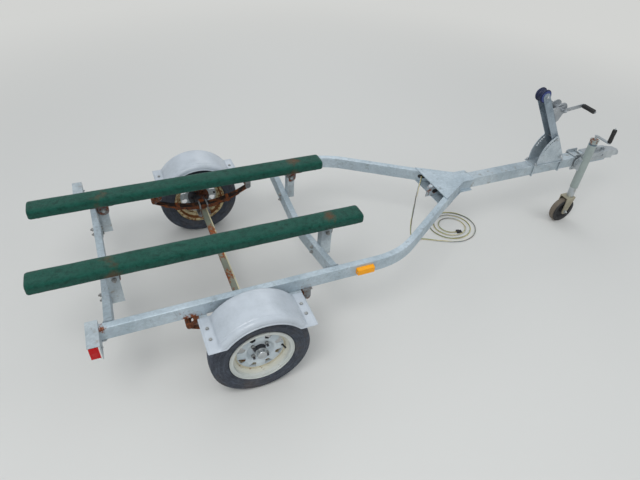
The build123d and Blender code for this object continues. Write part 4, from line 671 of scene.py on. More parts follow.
def from_line(tree, coords, place):
    """A point's offset from the line along Y through a place, the same without Y, and how long that is."""
    offset = add(tree, "VectorMath", (coords, place), operation="SUBTRACT")
    flat = add(tree, "VectorMath", (offset, (1, 0, 1)), operation="MULTIPLY")
    return offset, flat, add(tree, "VectorMath", (flat,), operation="LENGTH")


def leaf_gap_shade(tree, coords):
    """Painted shade as dark lines where leaves meet: the distance from the arc's centre, folded over a leaf's
    thickness.
    """
    far = from_line(tree, coords, spring_centre)[2]
    part = add(tree, "Math", (far, spring_r - leaf_t / 2), operation="SUBTRACT")
    part = add(tree, "Math", (part, leaf_t), operation="PINGPONG")
    edge = add(tree, "Math", (part, leaf_t / 2), operation="PINGPONG")
    return add(tree, "MapRange", {"Value": edge, "From Min": 0.0011, "From Max": 0.0003})


spring_rust = weathered(
    "rusted_spring_steel",
    ("#5e3b27", "#43302a", "#84491f"),
    ("#a6571f", "#5c2e18"),
    metal=0.15,
    rough=0.75,
    cloud_mm=50,
    stain_level=0.8,
    rust_level=0.62,
    relief=0.6,
    # The near-black zone is painted shade in the gaps between the leaves, kept free of rust.
    zones=[("#1c1512", -1.0, leaf_gap_shade)],
)
dress(["left_leaf_spring", "right_leaf_spring"], spring_rust)


# Axle: square tube in olive grey enamel, with a painted highlight as one pale stripe along its upper front
# edge.
# The enamel has blistered off in ragged rust patches, worst inside the right spring.
axle_side = 0.038


def painted_highlight_edge(tree, coords):
    """A painted highlight on the upper front edge: where X and Z together come near what they are at the
    tube's corner.
    """
    place = add(tree, "SeparateXYZ", (coords,)).outputs
    total = add(tree, "Math", (place["X"], place["Z"]), operation="ADD")
    corner = axle_x + axle_z + axle_side
    return add(
        tree,
        "MapRange",
        {"Value": total, "From Min": corner - 0.0085, "From Max": corner - 0.007, "To Max": 0.9},
    )


def lower_half(tree, coords):
    """The lower part of the sides and the underside, which stay wet longest."""
    z = add(tree, "SeparateXYZ", (coords,)).outputs["Z"]
    return add(tree, "MapRange", {"Value": z, "From Min": axle_z + 0.004, "From Max": axle_z - 0.016})


axle_enamel = weathered(
    "blistered_axle_enamel",
    ("#7d8273", "#6c7164", "#9a8455"),
    ("#a8571d", "#5a2c17"),
    metal=0.0,
    rough=0.5,
    cloud_mm=80,
    stain_level=0.45,
    rust_level=0.24,
    relief=0.6,
    patches=[
        ((axle_x, -0.50, axle_z), 0.27, 0.5),
        ((axle_x, 0.62, axle_z), 0.16, 0.42),
        ((axle_x, 0.27, axle_z - 0.02), 0.11, 0.3),
        ((axle_x + 0.02, 0.02, axle_z - 0.01), 0.07, 0.3),
        ((axle_x, -0.16, axle_z - 0.02), 0.09, 0.3),
    ],
    # The pale edge zone is a painted highlight, and it holds rust back.
    zones=[("#d2caa6", -0.1, painted_highlight_edge), ("#74705a", 0.1, lower_half)],
)
dress(["axle"], axle_enamel)


# Wheels: a rolled rim and a pressed disc, in white enamel. The disc stays white, and the barrel behind it is
# cream with rust that creeps out of the seams and round the windows.
wheel_y = 0.70
wheel_line = (axle_x, 0, axle_z)


def from_wheel(tree, coords):
    """How far a point lies from the wheels' turning line, and from the trailer's middle plane."""
    offset, _, far = from_line(tree, coords, wheel_line)
    y = add(tree, "SeparateXYZ", (offset,)).outputs["Y"]
    return far, add(tree, "Math", (y,), operation="ABSOLUTE")


def rim_barrel(tree, coords):
    """The rim's inner barrel: beyond 120 mm from the axle, and more of it the further inboard of the disc."""
    far, y = from_wheel(tree, coords)
    beyond = add(tree, "MapRange", {"Value": far, "From Min": 0.120, "From Max": 0.126})
    inboard = add(
        tree,
        "MapRange",
        {"Value": y, "From Min": wheel_y + 0.045, "From Max": wheel_y - 0.01, "To Min": 0.25},
    )
    return add(tree, "Math", (beyond, inboard), operation="MULTIPLY")


def seat_ring(tree, coords):
    """The inboard bead seat's inner corner, a ring about 10 mm wide where water stands."""
    far, y = from_wheel(tree, coords)
    off = add(tree, "Math", (far, 0.1475), operation="SUBTRACT")
    off = add(tree, "Math", (off,), operation="ABSOLUTE")
    ring = add(tree, "MapRange", {"Value": off, "From Min": 0.0065, "From Max": 0.003})
    inboard = add(tree, "MapRange", {"Value": y, "From Min": wheel_y - 0.004, "From Max": wheel_y - 0.014})
    return add(tree, "Math", (ring, inboard), operation="MULTIPLY")


wheel_enamel = weathered(
    "white_wheel_enamel",
    ("#ccd5d9", "#b7c3ca", "#9c8a66"),
    ("#94602f", "#5b361e"),
    metal=0.0,
    rough=0.42,
    cloud_mm=70,
    stain_level=0.3,
    rust_level=0.12,
    zones=[("#c8ba90", 0.19, rim_barrel), ("#8d6a3f", 0.16, seat_ring)],
)
dress(["left_wheel", "right_wheel"], wheel_enamel)


# Tyres: 4.80-12 trailer tyres, moulded black rubber. Three zigzag grooves part the tread into four ribs, the
# shoulders have fine cross sipes, and low rings run round the sidewalls.
hands = (("left", 1), ("right", -1))
tread_r = 0.26
tread_half = 0.042
tread_crown = 0.004
section_half = 0.061
bead_half = 0.050
bead_r = 0.1523
around = 592
pitches = 74
groove_depth = 0.0055
groove_lip = 0.0023
groove_floor = 0.0013
zigzag = 0.0022
outer_rib = 0.034
sipe_depth = 0.0018


def arc(first, middle, last, count):
    """Points at even angles on the circle through three points, from after the first to the last."""
    a, b, c = complex(*first), complex(*middle), complex(*last)
    ratio = (c - a) / (b - a)
    centre = a - (a - b) * (ratio - abs(ratio) ** 2) / (2j * ratio.imag)
    sweep = np.angle((c - centre) / (a - centre))
    points = centre + (a - centre) * np.exp(1j * sweep * np.arange(1, count + 1) / count)
    return np.stack([points.real, points.imag], -1)


# Half of the section runs from the middle of the tread over the shoulder and down the wall to the bead. Each
# column has its place across the tread, and one where a groove's floor is and nought elsewhere.
groove_columns = []
for groove in (0.0, 0.022):
    for offset, sunk in ((-groove_lip, 0), (-groove_floor, 1), (groove_floor, 1), (groove_lip, 0)):
        groove_columns.append((groove + offset, sunk))
tread_columns = groove_columns[2:4] + [(t, 0) for t in (0.0075, 0.011, 0.0145)] + groove_columns[4:]
tread_columns += [(t, 0) for t in (0.0275, 0.031, 0.036, 0.039, tread_half)]
tread_t, tread_groove = np.array(tread_columns).T
tread_profile = np.stack([tread_t, tread_r - tread_crown * (tread_t / tread_half) ** 2], -1)
tread_edge = (tread_half, tread_r - tread_crown)
shoulder_end = (section_half - 0.006, tread_r - 0.018)
shoulder_profile = arc(tread_edge, (section_half - 0.010, tread_r - 0.0075), shoulder_end, 8)
wall_profile = arc(shoulder_end, (section_half, tread_r - 0.055), (bead_half, 0.169), 46)
half_profile = np.vstack([tread_profile, shoulder_profile, wall_profile, [(bead_half, bead_r)]])
half_groove = np.concatenate([tread_groove, np.zeros(len(half_profile) - len(tread_t))])
profile_t = np.concatenate([-half_profile[::-1, 0], half_profile[:, 0]])
profile_r = np.concatenate([half_profile[::-1, 1], half_profile[:, 1]])
profile_groove = np.concatenate([half_groove[::-1], half_groove])
# Round the tyre the middle ribs swing from side to side in a zigzag, and every other pair of rows is a sipe.
tyre_angle = 2 * pi * np.arange(around) / around
swing = zigzag * (2 / pi) * np.arcsin(np.sin(pitches * tyre_angle))
follow = np.clip((outer_rib - np.abs(profile_t)) / 0.006, 0, 1)
sipe = (np.arange(around) % 4 < 2).astype(float)
sipe_reach = np.clip((np.abs(profile_t) - outer_rib) / 0.003, 0, 1)
sipe_reach *= np.clip((profile_r - tread_r + 0.030) / 0.008, 0, 1)
ring_table = [
    # radius, half width, height
    (0.1765, 0.0024, 0.0024),
    (0.1840, 0.0018, 0.0015),
    (0.2075, 0.0015, 0.0014),
    (0.2120, 0.0015, 0.0014),
    (0.2165, 0.0015, 0.0014),
    (0.2330, 0.0024, 0.0022),
]
ring_height = sum(high * np.exp(-(((profile_r - ring) / wide) ** 2)) for ring, wide, high in ring_table)
ring_height *= np.sign(profile_t)
tyre_r = profile_r[None] - groove_depth * profile_groove[None] - sipe_depth * sipe[:, None] * sipe_reach[None]
tyre_t = profile_t[None] + swing[:, None] * follow[None] + ring_height[None]
tyre_x = axle_x + tyre_r * np.cos(tyre_angle)[:, None]
tyre_z = axle_z + tyre_r * np.sin(tyre_angle)[:, None]


def tyre_rubber():
    """Aged tyre rubber: blue black, chalky with dust, paler on the worn tread, with blotches of dried earth.

    Scuffs run round the walls: their noise changes slowly with the turning direction and, much faster, with
    the radius and the width. Chalk lies in blotches of 26 mm and earth in blotches of 130 mm. The rubber's
    grain is far finer than the 2.4 mm it is drawn at, which lets it show.
    """
    made, tree = blank("aged_tyre_rubber")
    coords = add(tree, "TexCoord").outputs["Object"]
    offset, flat, far = from_line(tree, coords, wheel_line)
    worn = add(tree, "MapRange", {"Value": far, "From Min": tread_r - 0.006, "From Max": tread_r - 0.002})
    way = add(tree, "VectorMath", (flat,), operation="NORMALIZE")
    way = add(tree, "SeparateXYZ", (way,)).outputs
    width = add(tree, "SeparateXYZ", (offset,)).outputs["Y"]
    ring = add(tree, "Math", (far, width), operation="ADD")
    ring = add(tree, "Math", (ring, 42), operation="MULTIPLY")
    turning = add(tree, "CombineXYZ", (way["X"], ring, way["Z"]))
    scuffed = blotches(tree, turning, 3.2, 10, 0.72, 0.46, 0.7, 0.4)[1]
    chalked = blotches(tree, coords, 38, 10, 0.78, 0.42, 0.7, 0.4)[1]
    dust = add(tree, "Math", (chalked, scuffed), operation="ADD")
    dust = add(tree, "Math", (worn, 0.16, dust), operation="MULTIPLY_ADD")
    colour = add(tree, "Mix", (dust, linear("#2a2f39"), linear("#5d6674")), data_type="RGBA")
    earthy = blotches(tree, coords, 7.5, 12, 0.8, 0.5, 0.66, 0.36)[1]
    colour = add(tree, "Mix", (earthy, colour, linear("#62564a")), data_type="RGBA")
    grain = add(tree, "TexNoise", {"Vector": coords, "Scale": 420, "Detail": 3})
    bump = add(tree, "Bump", {"Strength": 0.2, "Distance": 0.001, "Height": grain})
    shader = add(tree, "BsdfPrincipled", {"Base Color": colour, "Roughness": 0.74, "Normal": bump})
    add(tree, "OutputMaterial", {"Surface": shader})
    return made


rubber = tyre_rubber()
for hand, side in hands:
    tyre_grid = np.stack([tyre_x, side * (wheel_y + tyre_t), tyre_z], -1)
    tyre_skins = [skin(tyre_grid, wrap_rows=True, wrap_cols=True)]
    tyre = solid(hand + "_treaded_tyre", tyre_skins, rubber, hand + "_road_wheel", 38)
    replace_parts(tyre, hand + "_tyre")


# Hubs: cast iron with a pressed dust cap. The flange and barrel are dark grey with rust on the studs; the cap
# is thin zinc-plated steel with a rolled edge and a domed end.
hub_iron = weathered(
    "dark_hub_iron",
    ("#41444a", "#33363b", "#6d5a46"),
    old_rust,
    metal=0.1,
    rough=0.6,
    cloud_mm=30,
    stain_level=0.5,
    rust_level=0.3,
    patches=[((axle_x + 0.03, wheel_y, axle_z + 0.03), 0.1, 0.2)],
)
dress(["left_hub", "right_hub"], hub_iron)
# Wheel nuts: thin zinc plate gone grey, with rust through it all over.
stud_zinc = weathered(
    "rusty_nut_zinc",
    ("#a3a5a3", "#8c8e8c", "#7a5a3e"),
    new_rust,
    metal=0.6,
    rough=0.45,
    cloud_mm=15,
    stain_level=0.5,
    rust_level=0.25,
)
# Dust cap: zinc-plated sheet, smooth and bright, with a few freckles of rust.
cap_zinc = weathered(
    "dust_cap_zinc",
    ("#c4c8ca", "#a9aeb1", "#8d8779"),
    new_rust,
    metal=0.8,
    rough=0.32,
    cloud_mm=25,
    stain_level=0.3,
    rust_level=0.06,
)
# Valve stems: plain black rubber, snapped into the rim.
stem_rubber, stem_tree = blank("valve_stem_rubber")
stem_shader = add(stem_tree, "BsdfPrincipled", {"Base Color": linear("#191a1b"), "Roughness": 0.55})
add(stem_tree, "OutputMaterial", {"Surface": stem_shader})
stud_circle = 0.0508
cap_r = 0.0255
cap_corner = 0.006
cap_end = 0.0526
cap_profile = [(0, 0.025), (0.0298, 0.025), (0.0298, 0.0276), (0.0264, 0.0284), (cap_r, 0.03), (cap_r, 0.038)]
for a in np.linspace(0, pi / 2, 9):
    cap_profile.append((cap_r - cap_corner * (1 - cos(a)), cap_end - cap_corner * (1 - sin(a))))
cap_profile += [(0.012, cap_end + 0.0008), (0.004, cap_end + 0.0011), (0, cap_end + 0.0012)]
nut_profile = [(0, 0.002), (0.0078, 0.0035), (0.0108, 0.0085), (0.0108, 0.0175)]
nut_profile += [(0.0092, 0.0195), (0, 0.0195)]
stem_profile = [(0, -0.012), (0.0075, -0.012), (0.0075, -0.001), (0.0048, 0.001), (0.0042, 0.018)]
stem_profile += [(0.0044, 0.0185), (0.0044, 0.0255), (0.0036, 0.027), (0, 0.027)]
for hand, side in hands:
    wheel_body = hand + "_road_wheel"
    outward = (0, side, 0)
    cap = spun(cap_profile, (axle_x, side * wheel_y, axle_z), outward, 48)
    solid(hand + "_dust_cap", [cap], cap_zinc, wheel_body, 30)
    wheel_nuts = []
    for corner in (45, 135, 225, 315):
        stud_x = axle_x + stud_circle * cos(radians(corner))
        stud_z = axle_z + stud_circle * sin(radians(corner))
        wheel_nuts.append(spun(nut_profile, (stud_x, side * wheel_y, stud_z), outward, 6))
    solid(hand + "_wheel_nuts", wheel_nuts, stud_zinc, wheel_body, 30)
    stem_place = (axle_x + 0.1155, side * (wheel_y + 0.019), axle_z)
    stem = spun(stem_profile, stem_place, (0.35, side, 0), 20)
    solid(hand + "_valve_stem", [stem], stem_rubber, wheel_body, 30)


# Fenders: silver-grey plastic, vacuum formed over a mould, so the edges are round and the wall is even. A
# raised step runs inside the rolled lip, and each foot has two round dimples for its bolts.
def middle(node_name):
    """The middle of a CAD node's box."""
    return [(low + high) / 2 for low, high in zip(*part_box(node_name))]


fender_low, fender_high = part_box("left_fender")
fender_y = middle("left_fender")[1]
fender_half = (fender_high[1] - fender_low[1]) / 2
fender_top = fender_high[2] - 0.002
foot_top = rail_bottom + 0.004
foot_inner = 0.212
foot_outer = 0.269
foot_start = foot_inner + 0.012
foot_bolt_x = 0.237
foot_bolt_ys = (0.653, 0.721)
dimple_r = 0.0155
dimple_depth = 0.0016
arch_rise = 0.0505
arch_r = fender_top - axle_z - arch_rise
arch_half = radians(52)
skirt = 0.034
corner_r = 0.022
wall = 0.0036
side_half = fender_half - 0.003
step_half = fender_half - 0.034


def moulded(name, base, fleck, rough, dust_scale=14, grain=0.12, coat=0.0, clear=0.0):
    """Moulded plastic or rubber: one colour with faint dust clouds, and a fine grain in its surface.

    The mould's grain is a tenth of the 1.1 mm it is drawn at, which lets it show.
    """
    made, tree = blank(name)
    coords = add(tree, "TexCoord").outputs["Object"]
    dust, dusty = blotches(tree, coords, dust_scale, 8, 0.68, 0.42, 0.72, 0.7)
    colour = add(tree, "Mix", (dusty, linear(base), linear(fleck)), data_type="RGBA")
    roughness = add(
        tree,
        "MapRange",
        {"Value": dust, "From Min": 0.3, "From Max": 0.7, "To Min": rough - 0.05, "To Max": rough + 0.12},
    )
    fine = add(tree, "TexNoise", {"Vector": coords, "Scale": 900, "Detail": 2})
    bump = add(tree, "Bump", {"Strength": grain, "Distance": 0.001, "Height": fine})
    shader = add(tree, "BsdfPrincipled", {"Base Color": colour, "Roughness": roughness, "Normal": bump})
    shader.inputs["Coat Weight"].default_value = coat
    shader.inputs["Transmission Weight"].default_value = clear
    add(tree, "OutputMaterial", {"Surface": shader})
    return made


# Half of the line along the fender's top: an arc over the wheel, a turn outwards and a flat foot that ends in
# a low bead. The skin's outward way at each point is square to this line.
arch_angle = np.linspace(-arch_half, arch_half, 97)[48:]
crown_x = arch_r * np.sin(arch_angle)
crown_z = axle_z + arch_rise + arch_r * np.cos(arch_angle)
blend = np.linspace(0, 1, 13)[1:]
turn_x = crown_x[-1] + (foot_start - crown_x[-1]) * blend
turn_z = crown_z[-1] + (foot_top - crown_z[-1]) * (1 - (1 - blend) ** 2.2)
foot_run = np.linspace(foot_start, foot_outer - 0.002, 24)[1:]
foot_bead = 0.0026 * np.exp(-(((foot_run - foot_outer + 0.0075) / 0.0036) ** 2))
half_x = np.concatenate([crown_x, turn_x, foot_run, [foot_outer - 0.0005]])
half_z = np.concatenate([crown_z, turn_z, foot_top + foot_bead, [foot_top - 0.0022]])
ridge_x = np.concatenate([-half_x[:0:-1], half_x])
ridge_z = np.concatenate([half_z[:0:-1], half_z])
slope = np.stack([np.gradient(ridge_x), np.gradient(ridge_z)], -1)
slope /= np.linalg.norm(slope, axis=1, keepdims=True)
out_x, out_z = -slope[:, 1], slope[:, 0]
# Half of the section across it: the raised middle, its step, a round corner and the skirt with a flared lip.
# The drop is how far a point lies inside the top line, and it shrinks where the foot has no room for a skirt.
step_y = step_half + np.linspace(-0.002, 0.002, 6)
side_y = np.linspace(step_half + 0.004, side_half - corner_r, 4)
half_flat = np.concatenate([np.linspace(0, step_half - 0.004, 15), step_y, side_y])
corner_turn = np.linspace(0, pi / 2, 10)[1:]
corner_y = side_half - corner_r + corner_r * np.sin(corner_turn)
corner_drop = corner_r * (1 - np.cos(corner_turn))
skirt_run = np.linspace(0, 1, 12)[1:]
skirt_y = side_half + 0.003 * np.clip((skirt_run - 0.45) / 0.2, 0, 1) ** 2
skirt_drop = corner_r + (skirt - corner_r) * skirt_run
half_y = np.concatenate([half_flat, corner_y, skirt_y])
half_drop = np.concatenate([0 * half_flat, corner_drop, skirt_drop])
cross_y = np.concatenate([-half_y[:0:-1], half_y])
cross_drop = np.concatenate([half_drop[:0:-1], half_drop])
step_rise = 0.0024 * np.clip((step_half + 0.002 - np.abs(cross_y)) / 0.004, 0, 1)
room = np.clip((ridge_z - rail_bottom - 0.0004) / np.maximum(out_z, 0.35), 0.0038, 1)
shrink = np.minimum(room / skirt, 1.0)
step_share = np.clip((shrink - 0.5) / 0.35, 0, 1)
fender_layers = []
for inset in (0, wall):
    narrow = np.where(np.abs(cross_y) > side_half - corner_r, 1 - inset / fender_half, 1)
    lower = cross_drop[None] * shrink[:, None] - step_rise[None] * step_share[:, None]
    lower = lower + inset * (np.abs(cross_y) < side_half - 0.001)[None]
    layer_x = axle_x + ridge_x[:, None] - out_x[:, None] * lower
    layer_z = ridge_z[:, None] - out_z[:, None] * lower
    layer_y = np.broadcast_to(fender_y + cross_y * narrow, layer_x.shape)
    fender_layers.append(np.stack([layer_x, layer_y, layer_z], -1))
outer, inner = fender_layers
fender_bolts = []
for bolt_x in (axle_x - foot_bolt_x, axle_x + foot_bolt_x):
    for bolt_y in foot_bolt_ys:
        near = np.hypot(outer[..., 0] - bolt_x, outer[..., 1] - bolt_y)
        outer[..., 2] -= dimple_depth * np.clip((dimple_r - near) / 0.003, 0, 1)
        fender_bolts += bolt_head((bolt_x, bolt_y, foot_top - 0.0012), up_way, 0.008)
        fender_bolts += nut((bolt_x, bolt_y, rail_bottom - 0.006), down_way, 0.008)
fender_skins = [skin(np.concatenate([outer, inner[:, ::-1]], 1), wrap_cols=True)]
fender_skins += [skin(np.stack([outer[end], inner[end]])) for end in (0, -1)]
for hand, side in hands:
    hand_skins = [(points * (1, side, 1), quads) for points, quads in fender_skins]
    plastic = moulded(
        "silver_fender_plastic_" + hand, "#b8c0c8", "#a0a8af", 0.34, dust_scale=9, grain=0.05, coat=0.15
    )
    fender = solid(hand + "_formed_fender", hand_skins, plastic, "chassis", 20)
    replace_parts(fender, hand + "_fender")
solid("fender_bolts", mirrored(fender_bolts), stud_zinc, "chassis", 30)


# Lamps: square red acrylic tail lamps screwed to a pale moulded base, with a fluted lens, a reflector block
# and two bright screws. An amber block marks each side of the frame.
def fluted(name, base, dark, axis, pitch_mm, relief=0.25):
    """Clear coloured acrylic over a fluted inside: a glossy face with even dark and light bands.

    Dust lies on it in blotches of 25 mm.
    """
    made, tree = blank(name)
    coords = add(tree, "TexCoord").outputs["Object"]
    band = add(tree, "SeparateXYZ", (coords,)).outputs[axis]
    band = add(tree, "Math", (band, 2 * pi * 1000 / pitch_mm), operation="MULTIPLY")
    band = add(tree, "Math", (band,), operation="SINE")
    band = add(tree, "MapRange", {"Value": band, "From Min": -1})
    dusty = blotches(tree, coords, 40, 6, 0.5, 0.5, 0.8, 0.14)[1]
    colour = add(tree, "Mix", (band, linear(base), linear(dark)), data_type="RGBA")
    colour = add(tree, "Mix", (dusty, colour, linear("#a58f86")), data_type="RGBA")
    bump = add(tree, "Bump", {"Strength": relief, "Distance": 0.001, "Height": band})
    shader = add(tree, "BsdfPrincipled", {"Base Color": colour, "Roughness": 0.2, "Normal": bump})
    shader.inputs["Specular IOR Level"].default_value = 0.2
    add(tree, "OutputMaterial", {"Surface": shader})
    return made


dress(["left_lamp_lens", "right_lamp_lens"], fluted("red_acrylic_lens", "#c9060f", "#a0060d", "Y", 4))
dress(["side_markers"], fluted("amber_acrylic_lens", "#fbae22", "#f09c18", "X", 7, 0.08))
# The window and the bulbs are clear acrylic, half see-through. The bases are white ABS with a grey bloom.
dress(["licence_window", "lamp_bulbs"], moulded("clear_acrylic", "#dfe3e0", "#c9cbc4", 0.18, clear=0.5))
dress(["lamp_bases"], moulded("white_lamp_base", "#d5d7d3", "#b3b2aa", 0.45))


def cushion(place, half_sizes, thickness, normal, first, power=5, count=112):
    """A flat block with round corners: a superellipse outline, its height falling off near the edge.

    The first half size lies along the first way and the other one across it and the normal.
    """
    turn = np.linspace(0, 2 * pi, count, endpoint=False)
    unit = (np.abs(np.cos(turn)) ** power + np.abs(np.sin(turn)) ** power) ** (-1 / power)
    outline = np.stack([np.cos(turn) * unit * half_sizes[0], np.sin(turn) * unit * half_sizes[1]], -1)
    share = np.array([0, 0.5, 0.9, 0.965, 1.0, 1.0])[:, None, None]
    height = np.array([1, 1, 1, 0.9, 0.55, -0.3])[:, None, None] * thickness
    place, normal, first = [np.asarray(one, float) for one in (place, normal, first)]
    second = np.cross(normal, first)
    points = place + share * (outline[:, :1] * first + outline[:, 1:] * second) + height * normal
    bottom = points[-1:] * 0 + place - 0.3 * thickness * normal
    return skin(np.concatenate([points, bottom]), wrap_cols=True)


lens_low, lens_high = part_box("left_lamp_lens")
lens_y, lens_z = middle("left_lamp_lens")[1:]
lens_face = lens_low[0] + 0.0015 - 0.0002
reflector_red = fluted("red_reflector_block", "#cf1620", "#9c0d15", "Z", 2.5)
reflectors = [cushion((lens_face, lens_y + 0.036, lens_z), (0.0305, 0.0285), 0.0024, back_way, left_way)]
solid("lamp_reflectors", mirrored(reflectors), reflector_red, "chassis", 30)
screw_profile = [(0, 0), (0.0052, 0), (0.0052, 0.0014), (0.0038, 0.003), (0.0012, 0.0034), (0, 0.0022)]
lens_screws = []
for screw_z in (lens_z + 0.022, lens_z - 0.022):
    lens_screws.append(spun(screw_profile, (lens_face, lens_y - 0.058, screw_z), back_way, 20))
for screw_y in (lens_y - 0.05, lens_y + 0.05):
    lens_screws += nut((lens_high[0] + 0.0092, screw_y, lens_z), front_way, 0.005)
solid("lamp_screws", mirrored(lens_screws), cap_zinc, "chassis", 30)
marker_x = middle("side_markers")[0]
marker_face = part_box("side_markers")[1][1] - 0.0085
marker_screws = []
for screw_x in (marker_x - 0.046, marker_x + 0.046):
    marker_screws.append(spun(screw_profile, (screw_x, marker_face, rail_z), left_way, 20))
solid("marker_screws", mirrored(marker_screws), cap_zinc, "chassis", 30)


# Bunks: boards wrapped in green marine carpet, whose needled pile is dull and slightly lumpy. The carpet is
# pulled round and folded under at both ends, and stained with rust where the brackets are screwed on.
bunk_low, bunk_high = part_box("left_bunk")
bunk_y, bunk_z = middle("left_bunk")[1:]
bunk_half_y = (bunk_high[1] - bunk_low[1]) / 2
bunk_half_z = (bunk_high[2] - bunk_low[2]) / 2
bunk_length = bunk_high[0] - bunk_low[0]
bracket_xs = [along(station + 0.056) for station in member_stations]


def carpet(name, side):
    """Needled polypropylene pile: deep green, no shine, with a fine speckle of paler and darker tufts.

    Tufts are 1.2 mm wide. The carpet is faded in clouds of 110 mm, matted dark in patches of 29 mm, and
    rusty within about 0.1 m of each bracket.
    """
    made, tree = blank(name)
    coords = add(tree, "TexCoord").outputs["Object"]
    tufts, tufted = blotches(tree, coords, 860, 6, 0.85, 0.34, 0.66)
    wear, faded = blotches(tree, coords, 9, 7, 0.66, 0.42, 0.74, 0.5)
    matted = blotches(tree, coords, 34, 9, 0.78, 0.47, 0.66, 0.75)[1]
    colour = add(tree, "Mix", (tufted, linear("#072923"), linear("#246354")), data_type="RGBA")
    colour = add(tree, "Mix", (faded, colour, linear("#2b564c")), data_type="RGBA")
    colour = add(tree, "Mix", (matted, colour, linear("#082a22")), data_type="RGBA")
    for bracket_x in bracket_xs:
        place = (bracket_x, side * bunk_y, bunk_low[2])
        away = add(tree, "VectorMath", (coords, place), operation="DISTANCE")
        away = add(tree, "Math", (wear, 0.12, away), operation="MULTIPLY_ADD")
        near = add(tree, "MapRange", {"Value": away, "From Min": 0.135, "From Max": 0.10, "To Max": 0.8})
        colour = add(tree, "Mix", (near, colour, linear("#6b3d22")), data_type="RGBA")
    bump = add(tree, "Bump", {"Strength": 1.0, "Distance": 0.0016, "Height": tufts})
    shader = add(tree, "BsdfPrincipled", {"Base Color": colour, "Roughness": 1.0, "Normal": bump})
    shader.inputs["Sheen Weight"].default_value = 0.18
    shader.inputs["Specular IOR Level"].default_value = 0.08
    add(tree, "OutputMaterial", {"Surface": shader})
    return made


# The pile's height is even noise, averaged over neighbours, plus long low lumps. Each ring of points is a
# superellipse that draws in at the ends, where the carpet is folded over the board.
pile = np.random.default_rng(4)
ring_points = 110
ring_power = 4.2
ring_angle = np.linspace(0, 2 * pi, ring_points, endpoint=False)
round_corner = np.abs(np.cos(ring_angle)) ** ring_power + np.abs(np.sin(ring_angle)) ** ring_power
round_corner = round_corner ** (-1 / ring_power)
section_y = bunk_half_y * np.cos(ring_angle) * round_corner
section_z = bunk_half_z * np.sin(ring_angle) * round_corner
end_shares = np.array([0.0, 0.3, 0.55, 0.75, 0.88, 0.95, 0.985])
end_depths = np.array([0.0005, 0.0005, 0.0006, 0.001, 0.0028, 0.006, 0.011])
run_x = np.linspace(0.016, bunk_length - 0.016, 400)
ring_x = np.concatenate([end_depths, run_x, bunk_length - end_depths[::-1]])
ring_share = np.concatenate([end_shares, np.ones(len(run_x)), end_shares[::-1]])[:, None]
near_end = np.minimum(ring_x, bunk_length - ring_x)[:, None]
fold = 0.0022 * np.exp(-(((near_end - 0.052) / 0.006) ** 2)) * (np.sin(ring_angle) < -0.3)
seam = 0.0018 * np.exp(-(((section_y + 0.018) / 0.002) ** 2)) * (section_z < 0)
for hand, side in hands:
    rough_pile = pile.uniform(-1, 1, (len(ring_x), ring_points))
    soft_pile = (rough_pile + np.roll(rough_pile, 1, 1) + np.roll(rough_pile, 1, 0)) / 3
    lumps = np.sin(ring_x * 31 + side)[:, None] * np.sin(3 * ring_angle + 1.3)
    lumps = lumps + 0.7 * np.sin(ring_x * 13.7)[:, None] * np.cos(2 * ring_angle)
    scale = ring_share * (1 - (0.0008 - 0.0003 * soft_pile - 0.0003 * lumps) / bunk_half_z)
    grid_y = bunk_y + section_y * scale
    grid_z = bunk_z + section_z * scale + (seam - fold) * ring_share * 0.6
    grid_z = np.maximum(grid_z, bunk_low[2] + 0.0002)
    grid_x = np.broadcast_to(bunk_low[0] + ring_x[:, None], grid_y.shape)
    bunk_skins = [skin(np.stack([grid_x, side * grid_y, grid_z], -1), wrap_cols=True)]
    bunk_carpet = carpet("green_marine_carpet_" + hand, side)
    bunk = solid(hand + "_carpeted_bunk", bunk_skins, bunk_carpet, "chassis", 80)
    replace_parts(bunk, hand + "_bunk")


# Bunk brackets and posts: a plate with a round ear under each bunk end, gone to rust, bolted to a galvanised
# angle that is bolted to the crossmember.
bracket_rust = weathered(
    "rusted_bracket_plate",
    ("#8b8c8a", "#74767a", "#6b4a34"),
    ("#8a4424", "#4a2517"),
    metal=0.3,
    rough=0.65,
    cloud_mm=40,
    stain_level=0.8,
    rust_level=0.56,
    relief=0.6,
)
dress(["bunk_brackets"], bracket_rust)
ear_bolt_z = 0.56
flange_bolt_y = 0.272
post_bolts = []
for station, bracket_x in zip(member_stations, bracket_xs):
    post_bolts += bolt_head((bracket_x, 0.287, ear_bolt_z), right_way, 0.012)
    post_bolts += nut((bracket_x, 0.2983, ear_bolt_z), left_way, 0.012)
    flange_x = along(station) + 0.024
    for bolt_z in (0.420, 0.456):
        post_bolts += bolt_head((flange_x, flange_bolt_y, bolt_z), front_way, 0.010)
        post_bolts += nut((flange_x - 0.043, flange_bolt_y, bolt_z), back_way, 0.010)
    for screw_x in (-0.045, 0.045):
        for screw_y in (-0.026, 0.026):
            screw_place = (bracket_x + screw_x, bunk_y + screw_y, bunk_low[2] - 0.005)
            post_bolts += bolt_head(screw_place, down_way, 0.007)
solid("bunk_bolts", mirrored(post_bolts), stud_zinc, "chassis", 30)


# Bow stop: two galvanised sector plates on a clamped base, an arm of folded channel that tilts between them,
# a lock bolt through one of their seven holes, and a waisted roller of navy rubber with violet end flanges.
# Zinc on thin plate has small crystals, which look like speckles.
sector_zinc = weathered(
    "speckled_sector_zinc",
    ("#c2ccd2", "#a8b4bb", "#7c868b"),
    new_rust,
    metal=0.45,
    rough=0.5,
    cloud_mm=40,
    stain_level=0.45,
    rust_level=0.05,
    facet_mm=5,
)
dress(["bow_bracket"], sector_zinc)
